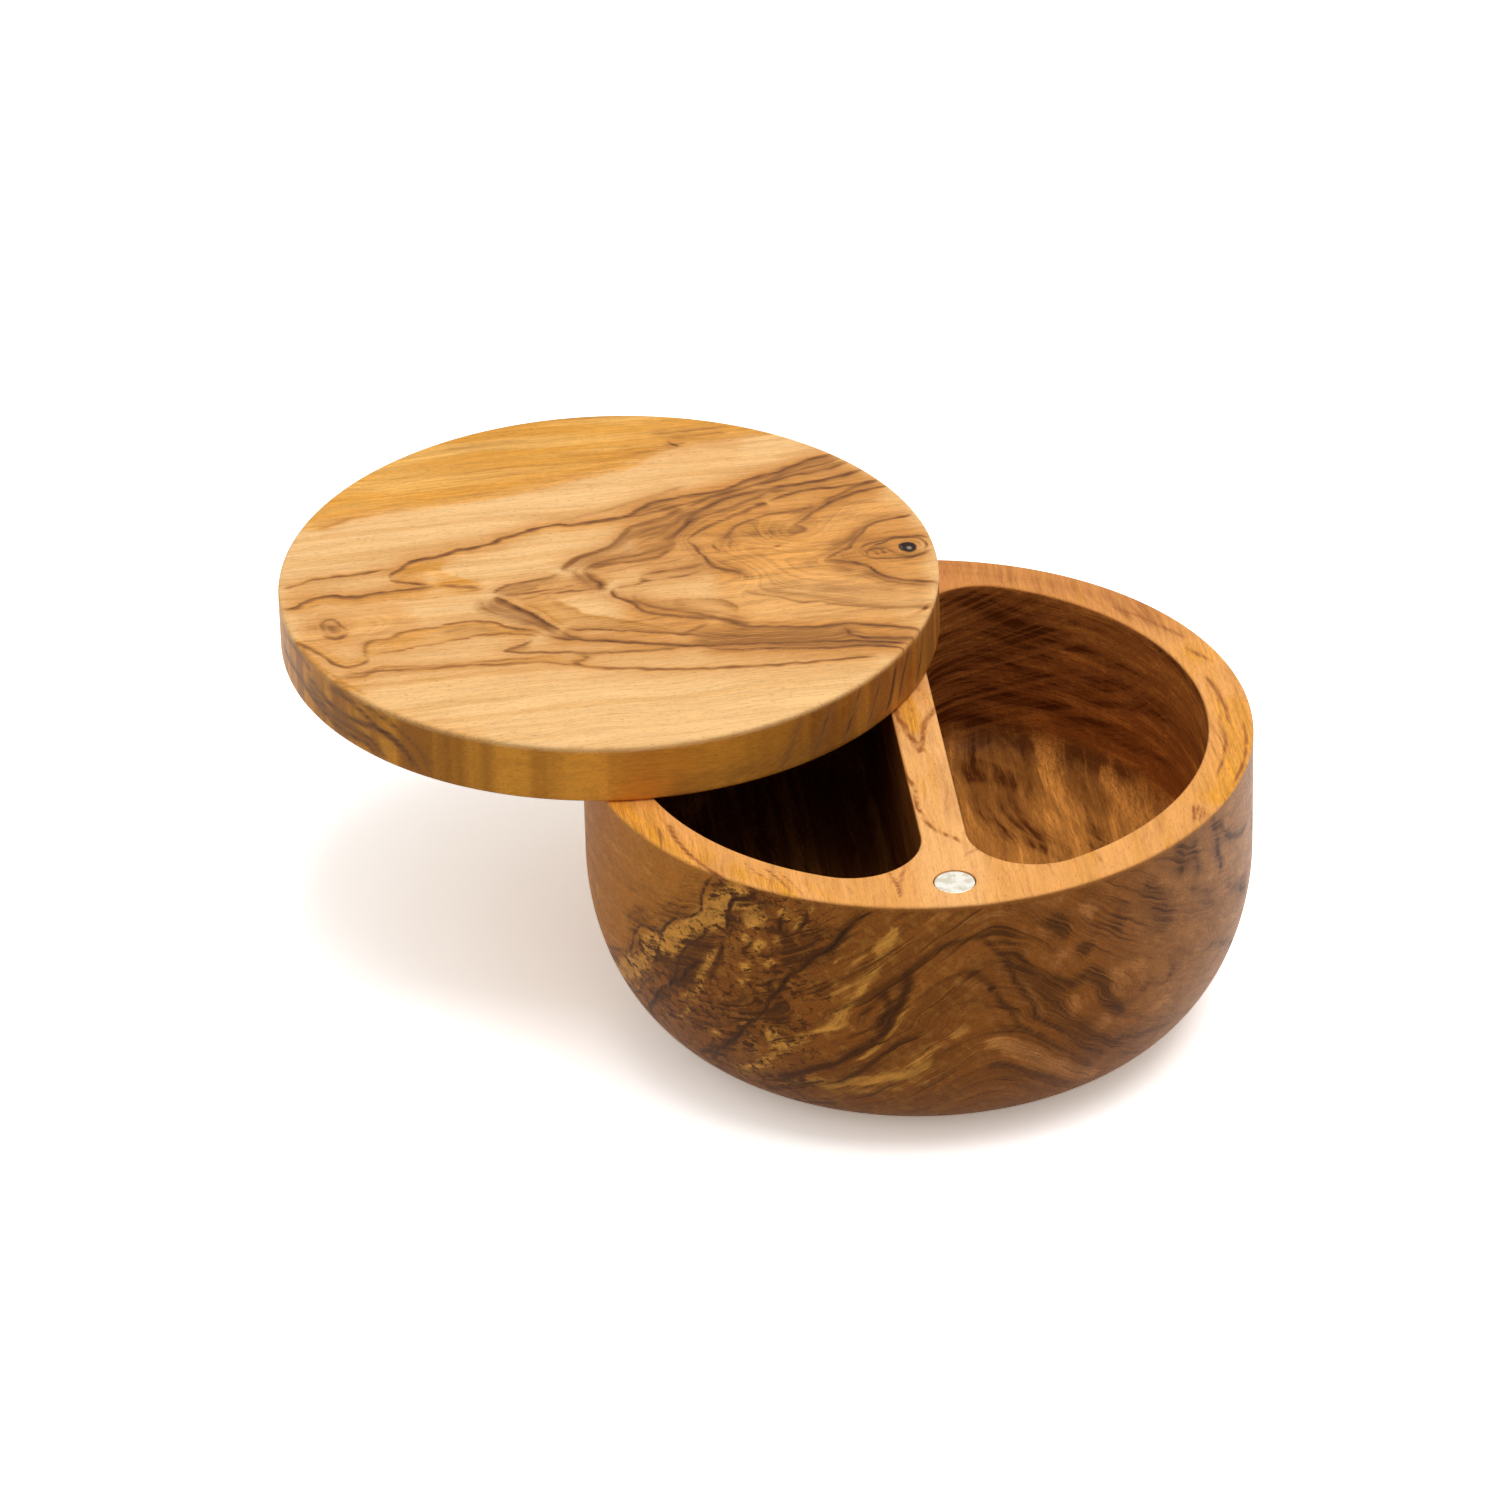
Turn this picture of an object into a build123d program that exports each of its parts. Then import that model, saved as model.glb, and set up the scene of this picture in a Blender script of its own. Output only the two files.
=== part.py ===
"""Round wooden salt box with two pockets and a lid that swings aside on a vertical pin.

The bowl is one piece of wood: a straight rim wall that curves in to a flat foot, with two
D-shaped pockets cut from above, so that the wood left between them is the divider. The lid is
a plain disc as wide as the bowl. It turns on a steel dowel pressed into the rim where the
divider meets the back wall, and its blind bore rests on the dowel's end, which holds the lid a
hair clear of the rim. Opposite the dowel a small disc magnet is glued into the rim, and its
twin is glued into the underside of the lid, so that the two meet when the lid is shut.

Frame: +Z is up, the origin is the centre of the flat foot, -Y is the front, where the rim
magnet is, and +Y is the back, where the dowel is. Lengths are in millimetres and angles in
degrees. The lid stands open, swung clockwise as seen from above.
"""

from build123d import *

import math
import os

# ---- Bowl: the sizes that drive it -------------------------------------------------------
bowl_diameter = 133.0
bowl_height = 60.5
straight_wall_height = 25.5  # the cylindrical band under the rim, before the wall curves in
foot_diameter = 86.0
rim_wall = 9.0  # wood between the pockets and the outside, at the rim
divider_thickness = 9.0
pocket_depth = 38.0
pocket_corner_radius = 13.5  # seen from above, where the divider runs into the wall
pocket_cove_radius = 6.0  # between a pocket's wall and its floor
rim_rounding = 0.6  # sanded edges of the rim and of the pockets' mouths

# ---- Lid ---------------------------------------------------------------------------------
lid_diameter = bowl_diameter  # flush with the bowl all round when shut
lid_thickness = 12.5
lid_gap = 0.25  # between the rim and the underside of the lid
lid_rounding = 0.7  # sanded edges of the lid
lid_open_angle = 78.5  # how far the lid stands open

# ---- Steel dowel -------------------------------------------------------------------------
hardware_inset = 8.65  # from the bowl's outside to the dowel's axis, and to the magnet's
pin_diameter = 6.0
pin_seat_depth = 18.0  # pressed this far into the bowl
pin_bore_depth = 8.0  # turns this far inside the lid
pin_running_clearance = 0.08  # all round, between the dowel and the lid's bore
pin_end_chamfer = 0.5

# ---- Magnets and the glue that holds them ------------------------------------------------
magnet_diameter = 8.0
magnet_thickness = 3.0
magnet_rounding = 0.25
magnet_sink = 0.15  # the magnet's face lies this far below the wood
magnet_gap = 0.2  # all round, between the magnet and its recess
glue_bed = 0.2  # glue under the magnet
glue_rise = 2.2  # how far the glue climbs round the magnet's side

# ---- Worked out from the sizes above -----------------------------------------------------
bowl_radius = bowl_diameter / 2
foot_radius = foot_diameter / 2
belly_height = bowl_height - straight_wall_height
pocket_radius = bowl_radius - rim_wall
pocket_floor = bowl_height - pocket_depth
hardware_radius = bowl_radius - hardware_inset
lid_underside = bowl_height + lid_gap
recess_radius = magnet_diameter / 2 + magnet_gap
recess_depth = magnet_sink + magnet_thickness + glue_bed
pin_length = pin_seat_depth + lid_gap + pin_bore_depth

# The lid's own plane: its underside, centred on the disc and turned with it. In this plane the
# dowel is at +Y and the magnet at -Y, as they are in the bowl. Swinging the lid open carries
# its centre round the dowel.
open_angle = math.radians(lid_open_angle)
lid_plane = Plane(
    origin=(
        -hardware_radius * math.sin(open_angle),
        hardware_radius * (1 - math.cos(open_angle)),
        lid_underside,
    ),
    x_dir=(math.cos(open_angle), -math.sin(open_angle), 0),
    z_dir=(0, 0, 1),
)

os.makedirs("parts", exist_ok=True)


# ---- Bowl --------------------------------------------------------------------------------
with BuildPart() as bowl:
    # Outside: the foot, the belly's quarter ellipse, the straight wall and the rim.
    with BuildSketch(Plane.XZ):
        with BuildLine():
            Line((0, 0), (foot_radius, 0))
            EllipticalCenterArc(
                center=(foot_radius, belly_height),
                x_radius=bowl_radius - foot_radius,
                y_radius=belly_height,
                start_angle=-90,
                arc_size=90,
            )
            Line((bowl_radius, belly_height), (bowl_radius, bowl_height))
            Line((bowl_radius, bowl_height), (0, bowl_height))
            Line((0, bowl_height), (0, 0))
        make_face()
    revolve(axis=Axis.Z)

    # The two pockets, either side of the divider, with a cove round each floor.
    with BuildSketch(Plane.XY.offset(bowl_height)) as pockets:
        Circle(pocket_radius)
        Rectangle(divider_thickness, bowl_diameter, mode=Mode.SUBTRACT)
        fillet(pockets.vertices(), pocket_corner_radius)
    extrude(amount=-pocket_depth, mode=Mode.SUBTRACT)
    floor_edges = bowl.edges().filter_by_position(Axis.Z, pocket_floor, pocket_floor)
    fillet(floor_edges, pocket_cove_radius)

    # Sanded edges: the outside of the rim and the mouths of both pockets.
    rim_edges = bowl.edges().filter_by_position(Axis.Z, bowl_height, bowl_height)
    fillet(rim_edges, rim_rounding)

    # The dowel's blind seat at the back, and the magnet's recess at the front.
    with Locations((0, hardware_radius, bowl_height)):
        Hole(radius=pin_diameter / 2, depth=pin_seat_depth)
    with Locations((0, -hardware_radius, bowl_height)):
        Hole(radius=recess_radius, depth=recess_depth)
bowl.part.label = "bowl"
export_step(bowl.part, "parts/bowl.step")


# ---- Lid ---------------------------------------------------------------------------------
with BuildPart() as lid:
    with BuildSketch(lid_plane):
        Circle(lid_diameter / 2)
    extrude(amount=lid_thickness)
    fillet(lid.edges().filter_by(GeomType.CIRCLE), lid_rounding)

    # The blind bore that turns on the dowel, and the magnet's recess, both from below.
    with BuildSketch(lid_plane):
        with Locations((0, hardware_radius)):
            Circle(pin_diameter / 2 + pin_running_clearance)
    extrude(amount=pin_bore_depth, mode=Mode.SUBTRACT)
    with BuildSketch(lid_plane):
        with Locations((0, -hardware_radius)):
            Circle(recess_radius)
    extrude(amount=recess_depth, mode=Mode.SUBTRACT)
lid.part.label = "lid"
export_step(lid.part, "parts/lid.step")


# ---- Dowel: pressed into the bowl, its top end carries the lid ---------------------------
with BuildPart() as pivot_pin:
    with BuildSketch(Plane.XY.offset(bowl_height - pin_seat_depth)):
        with Locations((0, hardware_radius)):
            Circle(pin_diameter / 2)
    extrude(amount=pin_length)
    chamfer(pivot_pin.edges().filter_by(GeomType.CIRCLE), pin_end_chamfer)
pivot_pin.part.label = "pivot_pin"
export_step(pivot_pin.part, "parts/pivot_pin.step")


# ---- Magnets: one in the rim and its twin in the lid, each glued into a round recess ------
bowl_recess_floor = Plane(
    origin=(0, -hardware_radius, bowl_height - recess_depth),
    z_dir=(0, 0, 1),
)
lid_recess_floor = Plane(
    origin=lid_plane.from_local_coords((0, -hardware_radius, recess_depth)),
    z_dir=(0, 0, -1),
)
for host, recess_floor in (("bowl", bowl_recess_floor), ("lid", lid_recess_floor)):
    with BuildPart() as magnet:
        with BuildSketch(recess_floor.offset(glue_bed)):
            Circle(magnet_diameter / 2)
        extrude(amount=magnet_thickness)
        fillet(magnet.edges().filter_by(GeomType.CIRCLE), magnet_rounding)
    magnet.part.label = f"{host}_magnet"
    export_step(magnet.part, f"parts/{host}_magnet.step")

    # The set glue: a bed under the magnet and a thin wall part way up its side.
    with BuildPart() as glue:
        with BuildSketch(recess_floor):
            Circle(recess_radius)
        extrude(amount=glue_rise)
        add(magnet.part, mode=Mode.SUBTRACT)
    glue.part.label = f"{host}_magnet_glue"
    export_step(glue.part, f"parts/{host}_magnet_glue.step")
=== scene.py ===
# %% [markdown]
# # A round salt box of figured olive wood, with a lid that swings aside
# The box is two turned pieces of wood, a bowl with two D-shaped pockets and a plain lid, with a
# steel dowel to turn on and two small magnets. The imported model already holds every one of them
# at its real size. The steel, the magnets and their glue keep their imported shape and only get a
# finish. The two wooden pieces are modelled again here, on finer meshes, because what makes this
# box is its grain, and the grain is painted on the points of the mesh. Lengths are in metres.

import math
import bmesh
import bpy
import numpy as np
from mathutils import Euler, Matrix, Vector


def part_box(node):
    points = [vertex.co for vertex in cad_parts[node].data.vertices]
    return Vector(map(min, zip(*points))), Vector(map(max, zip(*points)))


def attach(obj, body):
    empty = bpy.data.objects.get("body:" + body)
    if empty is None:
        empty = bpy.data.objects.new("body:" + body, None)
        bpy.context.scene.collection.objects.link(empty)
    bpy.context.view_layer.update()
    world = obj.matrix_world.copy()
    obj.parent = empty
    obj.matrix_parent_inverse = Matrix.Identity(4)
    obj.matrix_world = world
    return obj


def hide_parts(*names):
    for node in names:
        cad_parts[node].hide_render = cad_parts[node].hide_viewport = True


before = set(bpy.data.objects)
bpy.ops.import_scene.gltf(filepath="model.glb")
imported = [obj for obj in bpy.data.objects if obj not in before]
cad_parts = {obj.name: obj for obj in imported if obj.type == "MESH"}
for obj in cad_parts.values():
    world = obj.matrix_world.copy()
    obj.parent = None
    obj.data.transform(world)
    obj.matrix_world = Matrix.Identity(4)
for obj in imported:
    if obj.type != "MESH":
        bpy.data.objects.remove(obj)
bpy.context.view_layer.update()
print("packed nodes:", sorted(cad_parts))

# %% [markdown]
# ## Lengths in millimetres
# A woodworker thinks in millimetres and Blender works in metres, so the sizes are written in
# millimetres and multiplied by `mm` where they are used. The places of the dowel, the magnets and
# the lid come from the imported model, so that nothing here can drift away from it. `touching`,
# `weld` and `same_height` are not sizes of the box: they say how near two places may be and still
# count as one.

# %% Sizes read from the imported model
mm = 0.001
touching = 0.01 * mm
weld = 0.00001
same_height = 1e-6
lid_low, lid_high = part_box("lid")
bowl_low, bowl_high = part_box("bowl")
lid_centre = (lid_low + lid_high) / 2
radius = (bowl_high.x - bowl_low.x) / 2
rim_height = bowl_high.z


def middle(node):
    low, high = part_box(node)
    return (low + high) / 2


print(f"radius {radius / mm:.2f} mm, rim at {rim_height / mm:.2f} mm, lid centre {lid_centre[:]}")

# %% [markdown]
# ## The camera
# The photograph was taken from far away with a long lens, looking about 31 degrees down and a
# little from the left, with the camera very slightly tilted. A long lens keeps the two discs'
# ellipses nearly parallel, as they are in the photograph. The camera is placed from those
# readings: it is turned first, and then set back from the middle of the rim along its own line of
# sight, with a small step aside, because the rim isn't in the middle of the picture.

# %% Camera
photo_size = 1500
focal_length_px = 8873.0
camera_data = bpy.data.cameras.new("camera")
camera_data.sensor_width = 36
camera_data.lens = focal_length_px * camera_data.sensor_width / photo_size
camera_data.clip_start = 0.1
camera_data.clip_end = 50
camera = bpy.data.objects.new("camera", camera_data)
bpy.context.scene.collection.objects.link(camera)
look_down, tilt, turned = math.radians(31.32), math.radians(1.41), math.radians(-5.465)
facing = (
    Euler((0, 0, turned)).to_matrix()
    @ Euler((math.pi / 2 - look_down, 0, 0)).to_matrix()
    @ Euler((0, 0, -tilt)).to_matrix()
)
rim_as_seen = Vector((33.14, 4.52, -1756.5)) * mm  # the rim's middle: right, up, away
camera.matrix_world = facing.to_4x4()
camera.location = Vector((0, 0, rim_height)) - facing @ rim_as_seen
bpy.context.scene.camera = camera
print("lens", round(camera_data.lens, 1), "mm, camera at", [round(v, 3) for v in camera.location])

# %% [markdown]
# ## Floor, light and background
# The box stands on a white sheet that fades out to pure white, under one broad soft lamp, high
# above it and to the right, with a weak even light from all round. So its shadow falls softly to
# the left and under the bowl, and the sides are much darker than the lid's top. A real
# sheet that white would throw a lot of light up under the bowl, which the photograph doesn't
# show. So the floor is white only to the camera and in reflections, and a middling grey to the
# light that bounces off it. It keeps the box's shadow either way.

# %% Stage and lights
def new_material(name):
    material = bpy.data.materials.new(name)
    material.use_nodes = True
    material.node_tree.nodes.clear()
    return material


def add_node(tree, kind, values=(), **settings):
    """A node with its settings and its sockets' values; a value that is a socket is linked."""
    node = tree.nodes.new(kind)
    for key, value in settings.items():
        setattr(node, key, value)
    for socket, value in dict(values).items():
        if isinstance(value, bpy.types.NodeSocket):
            tree.links.new(value, node.inputs[socket])
        else:
            node.inputs[socket].default_value = value
    return node


def seen_directly(tree):
    """1 for what the camera sees, also as a reflection or through glass, and 0 for other light."""
    rays = add_node(tree, "ShaderNodeLightPath").outputs
    seen = rays["Is Camera Ray"]
    for kind in ("Is Glossy Ray", "Is Transmission Ray"):
        seen = add_node(tree, "ShaderNodeMath", operation="MAXIMUM", values={
            0: seen, 1: rays[kind]}).outputs[0]
    return seen


sheet_size = 14
floor_bounce = 0.30  # how bright the sheet is to the light that bounces off it
surround = 0.53  # how strong the even light from all round is
paper_colour = (0.93, 0.96, 0.99, 1)
shadow_colour = (0.24, 0.20, 0.155, 1)  # what the camera sees of the paper in full shadow
bpy.ops.object.select_all(action="DESELECT")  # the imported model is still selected
bpy.ops.mesh.primitive_plane_add(size=sheet_size)
floor = bpy.context.object
floor.name = "floor"
paper = new_material("white_sheet")
tree = paper.node_tree
matte = add_node(tree, "ShaderNodeBsdfDiffuse", values={"Color": paper_colour})
dull = add_node(tree, "ShaderNodeBsdfDiffuse", values={
    "Color": (floor_bounce, floor_bounce, floor_bounce, 1)})
glow = add_node(tree, "ShaderNodeEmission", values={"Color": shadow_colour})
# seen by the camera the paper is over-exposed, as in the photograph, so that only the shadow's
# heart is left: it counts its light twice
twice = add_node(tree, "ShaderNodeAddShader", values={
    0: matte.outputs[0], 1: matte.outputs[0]})
bright = add_node(tree, "ShaderNodeAddShader", values={
    0: twice.outputs[0], 1: glow.outputs[0]})
both = add_node(tree, "ShaderNodeMixShader", values={
    0: seen_directly(tree), 1: dull.outputs[0], 2: bright.outputs[0]})
add_node(tree, "ShaderNodeOutputMaterial", values={"Surface": both.outputs[0]})
floor.data.materials.append(paper)

world = bpy.data.worlds.new("soft_surround")
bpy.context.scene.world = world
world.use_nodes = True
tree = world.node_tree
tree.nodes.clear()
level = add_node(tree, "ShaderNodeMix", data_type="FLOAT", values={
    0: seen_directly(tree), 2: surround, 3: 1.0})
sky = add_node(tree, "ShaderNodeBackground", values={
    "Color": (1, 1, 1, 1), "Strength": level.outputs[0]})
add_node(tree, "ShaderNodeOutputWorld", values={"Surface": sky.outputs[0]})


def add_lamp(name, place, aim, size, power):
    """A square soft lamp, turned to face the point it is aimed at."""
    lamp = bpy.data.lights.new(name, "AREA")
    lamp.size = size
    lamp.energy = power
    lit = bpy.data.objects.new(name, lamp)
    bpy.context.scene.collection.objects.link(lit)
    lit.location = place
    lit.rotation_euler = (Vector(aim) - Vector(place)).to_track_quat("-Z", "Y").to_euler()


add_lamp("key", place=(0.42, -0.10, 1.9), aim=(0, 0, 0.05), size=1.5, power=20.5)
bpy.context.scene.view_settings.view_transform = "Standard"
print("stage ready")

# %% [markdown]
# ## Working in edit mode
# A few helpers do what the hand does: clear the selection, open a piece in edit mode, and pick
# the faces, edges or points that lie in a certain place. `slice_up` cuts what shows with many
# parallel planes, which is how the flat faces get a close, even mesh for the grain.

# %% Helpers for modelling
def deselect():
    if bpy.context.mode != "OBJECT":
        bpy.ops.object.mode_set(mode="OBJECT")
    bpy.ops.object.select_all(action="DESELECT")


def open_piece(piece, part="FACE"):
    """Edit mode on this piece, with nothing selected."""
    deselect()
    piece.select_set(True)
    bpy.context.view_layer.objects.active = piece
    bpy.ops.object.mode_set(mode="EDIT")
    bpy.ops.mesh.select_mode(type=part)
    bpy.ops.mesh.select_all(action="DESELECT")


def pick(piece, part, test):
    """Selects what passes the test: faces by middle and normal, edges by ends, points by place."""
    mesh = bmesh.from_edit_mesh(piece.data)
    bpy.ops.mesh.select_all(action="DESELECT")
    if part == "FACE":
        found = [f for f in mesh.faces if test(f.calc_center_median(), f.normal)]
    elif part == "EDGE":
        found = [e for e in mesh.edges if test(*(v.co for v in e.verts))]
    else:
        found = [v for v in mesh.verts if test(v.co)]
    for element in found:
        element.select_set(True)
    mesh.select_flush_mode()
    bmesh.update_edit_mesh(piece.data)


def slice_up(piece, test, normal, positions):
    """Cuts the faces that pass the test with parallel planes at these positions."""
    pick(piece, "FACE", test)
    bpy.ops.mesh.hide(unselected=True)
    for position in positions:
        bpy.ops.mesh.select_all(action="SELECT")
        bpy.ops.mesh.bisect(plane_co=Vector(normal) * position, plane_no=normal)
    bpy.ops.mesh.reveal(select=False)
    bpy.ops.mesh.select_all(action="DESELECT")


def cut_away(piece, cutters):
    """Takes the cutters' shape out of the piece."""
    deselect()
    for cutter in cutters:
        cutter.select_set(True)
    bpy.context.view_layer.objects.active = cutters[0]
    bpy.ops.object.join()
    cut = piece.modifiers.new("cut", "BOOLEAN")
    cut.operation = "DIFFERENCE"
    cut.solver = "MANIFOLD"  # quick, and these meshes are closed
    cut.object = cutters[0]
    bpy.context.view_layer.objects.active = piece
    bpy.ops.object.modifier_apply(modifier=cut.name)
    bpy.data.objects.remove(cutters[0])


def drill(centre, hole_radius, low, high):
    """A plain round cutter."""
    deselect()
    bpy.ops.mesh.primitive_cylinder_add(
        vertices=72, radius=hole_radius, depth=high - low,
        location=(centre.x, centre.y, (low + high) / 2))
    return bpy.context.object


def spread(low, high, step):
    """Evenly spaced positions strictly between low and high."""
    count = max(1, round((high - low) / step))
    return np.linspace(low, high, count + 1)[1:-1]


sharp_from = math.radians(38)


def finish_mesh(piece):
    """Merges doubles, turns every face outwards and shades the soft edges smooth."""
    open_piece(piece, "VERT")
    bpy.ops.mesh.select_all(action="SELECT")
    bpy.ops.mesh.remove_doubles(threshold=weld)
    bpy.ops.mesh.normals_make_consistent(inside=False)
    bpy.ops.object.mode_set(mode="OBJECT")
    bpy.ops.object.shade_smooth_by_angle(angle=sharp_from)
    piece.data.calc_loop_triangles()
    return len(piece.data.loop_triangles)


# %% [markdown]
# ## The lid's disc
# The real lid is turned from a board: a flat disc 12.5 mm thick whose edges are only sanded
# round. A circle with many points is extruded up, its two edges are bevelled, and the bore and
# the magnet's recess are cut from below. The top could stay one big face, but the grain needs
# points to be painted on, so the top face is taken out and its round hole is filled with a grid.

# %% Model the lid
edge_points = 960
lid_rounding = 0.7 * mm
running_clearance = 0.08 * mm  # round the dowel, in the lid's bore
magnet_gap = 0.2 * mm  # round a magnet, in its recess
glue_bed = 0.2 * mm  # under a magnet
edge_row, underside_row = 0.8 * mm, 1.8 * mm  # how close the cuts for the grain lie
overshoot = 5 * mm  # how far a cutter starts outside the wood
deselect()
bpy.ops.mesh.primitive_circle_add(
    vertices=edge_points, radius=radius, fill_type="NGON",
    location=(lid_centre.x, lid_centre.y, lid_low.z))
lid = bpy.context.object
lid.name = "lid_disc"
bpy.ops.object.transform_apply(location=True, rotation=True, scale=True)
open_piece(lid)
bpy.ops.mesh.select_all(action="SELECT")
bpy.ops.mesh.extrude_region_move(
    TRANSFORM_OT_translate={"value": (0, 0, lid_high.z - lid_low.z)})
bpy.ops.mesh.select_all(action="SELECT")
bpy.ops.mesh.normals_make_consistent(inside=False)
bpy.ops.mesh.select_mode(type="EDGE")
pick(lid, "EDGE", lambda a, b: abs(a.z - b.z) < same_height)
bpy.ops.mesh.bevel(offset=lid_rounding, segments=3, profile=0.5, affect="EDGES")
bpy.ops.mesh.select_mode(type="FACE")
slice_up(lid, lambda c, n: abs(n.z) < 0.1 and lid_low.z + lid_rounding < c.z, (0, 0, 1),
         spread(lid_low.z + lid_rounding, lid_high.z - lid_rounding, edge_row))
pin, lid_magnet = middle("pivot_pin"), middle("lid_magnet")
pin_low, pin_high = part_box("pivot_pin")
magnet_low, magnet_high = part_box("lid_magnet")
bore_radius = (pin_high.x - pin_low.x) / 2 + running_clearance
recess_radius = (magnet_high.x - magnet_low.x) / 2 + magnet_gap
cut_away(lid, [
    drill(pin, bore_radius, lid_low.z - overshoot, pin_high.z),
    drill(lid_magnet, recess_radius, lid_low.z - overshoot, magnet_high.z + glue_bed)])
open_piece(lid)


def facing_down(c, n):
    return n.z < -0.99 and c.z < lid_low.z + touching


slice_up(lid, facing_down, (1, 0, 0), spread(lid_low.x, lid_high.x, underside_row))
slice_up(lid, facing_down, (0, 1, 0), spread(lid_low.y, lid_high.y, underside_row))
pick(lid, "FACE", lambda c, n: n.z > 0.99 and c.z > lid_high.z - touching)
bpy.ops.mesh.delete(type="ONLY_FACE")
bpy.ops.mesh.select_mode(type="EDGE")
pick(lid, "EDGE", lambda a, b: min(a.z, b.z) > lid_high.z - touching)
bpy.ops.mesh.fill_grid(span=edge_points // 4)
bpy.ops.object.mode_set(mode="OBJECT")
print("lid:", finish_mesh(lid), "triangles")

# %% [markdown]
# ## The bowl's outside
# The bowl is turned on a lathe, and Blender's lathe is spin. A circle's lower quarter, stretched
# to an ellipse, gives the belly's curve. Its upper end is drawn on up the straight wall and round
# the sanded edge of the rim, and its lower end in to the middle of the foot. Spinning that line
# once round makes the whole outside, and the top is closed with a grid of faces, which gives the
# grain its points.

# %% Turn the bowl's outside
foot_radius = 43 * mm
straight_wall_mm = 25.5  # the cylindrical band under the rim
belly_height = rim_height - straight_wall_mm * mm
rim_rounding = 0.6 * mm
turns = 600
belly_rows = 56
deselect()
bpy.ops.mesh.primitive_circle_add(
    vertices=4 * belly_rows, radius=1, location=(foot_radius, 0, belly_height),
    rotation=(math.pi / 2, 0, 0))
bowl = bpy.context.object
bowl.name = "bowl_block"
bowl.scale = (radius - foot_radius, belly_height, 1)
bpy.ops.object.transform_apply(location=True, rotation=True, scale=True)
open_piece(bowl, "VERT")
pick(bowl, "VERT", lambda p: p.x < foot_radius - touching or p.z > belly_height + touching)
bpy.ops.mesh.delete(type="VERT")
pick(bowl, "VERT", lambda p: p.z > belly_height - touching)
wall_rows = 36
straight = rim_height - rim_rounding - belly_height
for row in range(wall_rows):
    bpy.ops.mesh.extrude_vertices_move(
        TRANSFORM_OT_translate={"value": (0, 0, straight / wall_rows)})
bpy.ops.mesh.spin(steps=4, angle=math.pi / 2, axis=(0, 1, 0),
                  center=(radius - rim_rounding, 0, rim_height - rim_rounding))
pick(bowl, "VERT", lambda p: p.z < touching)
for inwards in (12 * mm, 16 * mm, 15 * mm):  # together the foot's radius
    bpy.ops.mesh.extrude_vertices_move(TRANSFORM_OT_translate={"value": (-inwards, 0, 0)})
# a twelfth of a turn is spun, and then copied eleven times round, which is much quicker
sectors = 12
for copies, steps in ((False, turns // sectors), (True, sectors - 1)):
    share = steps / sectors if copies else 1 / sectors
    bpy.ops.mesh.select_all(action="SELECT")
    bpy.ops.mesh.spin(steps=steps, angle=2 * math.pi * share, dupli=copies, center=(0, 0, 0),
                      axis=(0, 0, 1), use_auto_merge=False)
bpy.ops.mesh.select_all(action="SELECT")
bpy.ops.mesh.remove_doubles(threshold=weld)
bpy.ops.mesh.select_mode(type="EDGE")
pick(bowl, "EDGE", lambda a, b: min(a.z, b.z) > rim_height - same_height)
bpy.ops.mesh.fill_grid(span=turns // 4)
bpy.ops.mesh.select_all(action="SELECT")
bpy.ops.mesh.normals_make_consistent(inside=False)
bpy.ops.object.mode_set(mode="OBJECT")
print("outside:", len(bowl.data.polygons), "faces")

# %% [markdown]
# ## The pockets
# Each pocket is a D: a straight side along the divider, a big arc along the wall, and two corner
# arcs between them. The line is drawn as with a compass, one straight run and three spins of its
# end point, each about its own centre. Filled and pushed down it is a cutter. It is drawn a
# little too large, and step by step insets then follow a quarter circle inwards, which leaves
# the sanded mouth. The same is done at the floor, for the cove that a round-nosed bit leaves.

# %% Cut the pockets, the dowel's hole and the magnet's recess
rim_wall = 9 * mm
pocket_depth = 38 * mm
pocket_radius = radius - rim_wall
divider_half = 4.5 * mm
corner = 13.5 * mm
cove = 6 * mm
pocket_floor = rim_height - pocket_depth
above = 4 * mm  # how far the cutters stand out of the wood
divider_points, corner_points, wall_points = 62, 24, 98  # along the outline's runs
pocket_wall_rows, mouth_rows, cove_rows = 24, 4, 8


def inset_along_arc(size, steps, opening):
    """Insets the selected face along a quarter circle: a sanded mouth, or a cove at the floor."""
    for step in range(steps):
        a, b = (math.pi / 2 * k / steps for k in (step, step + 1))
        flat, steep = math.sin(b) - math.sin(a), math.cos(a) - math.cos(b)
        if not opening:
            flat, steep = steep, flat
        bpy.ops.mesh.inset(thickness=size * flat, depth=0, use_even_offset=True)
        bpy.ops.transform.translate(value=(0, 0, -size * steep))


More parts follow.
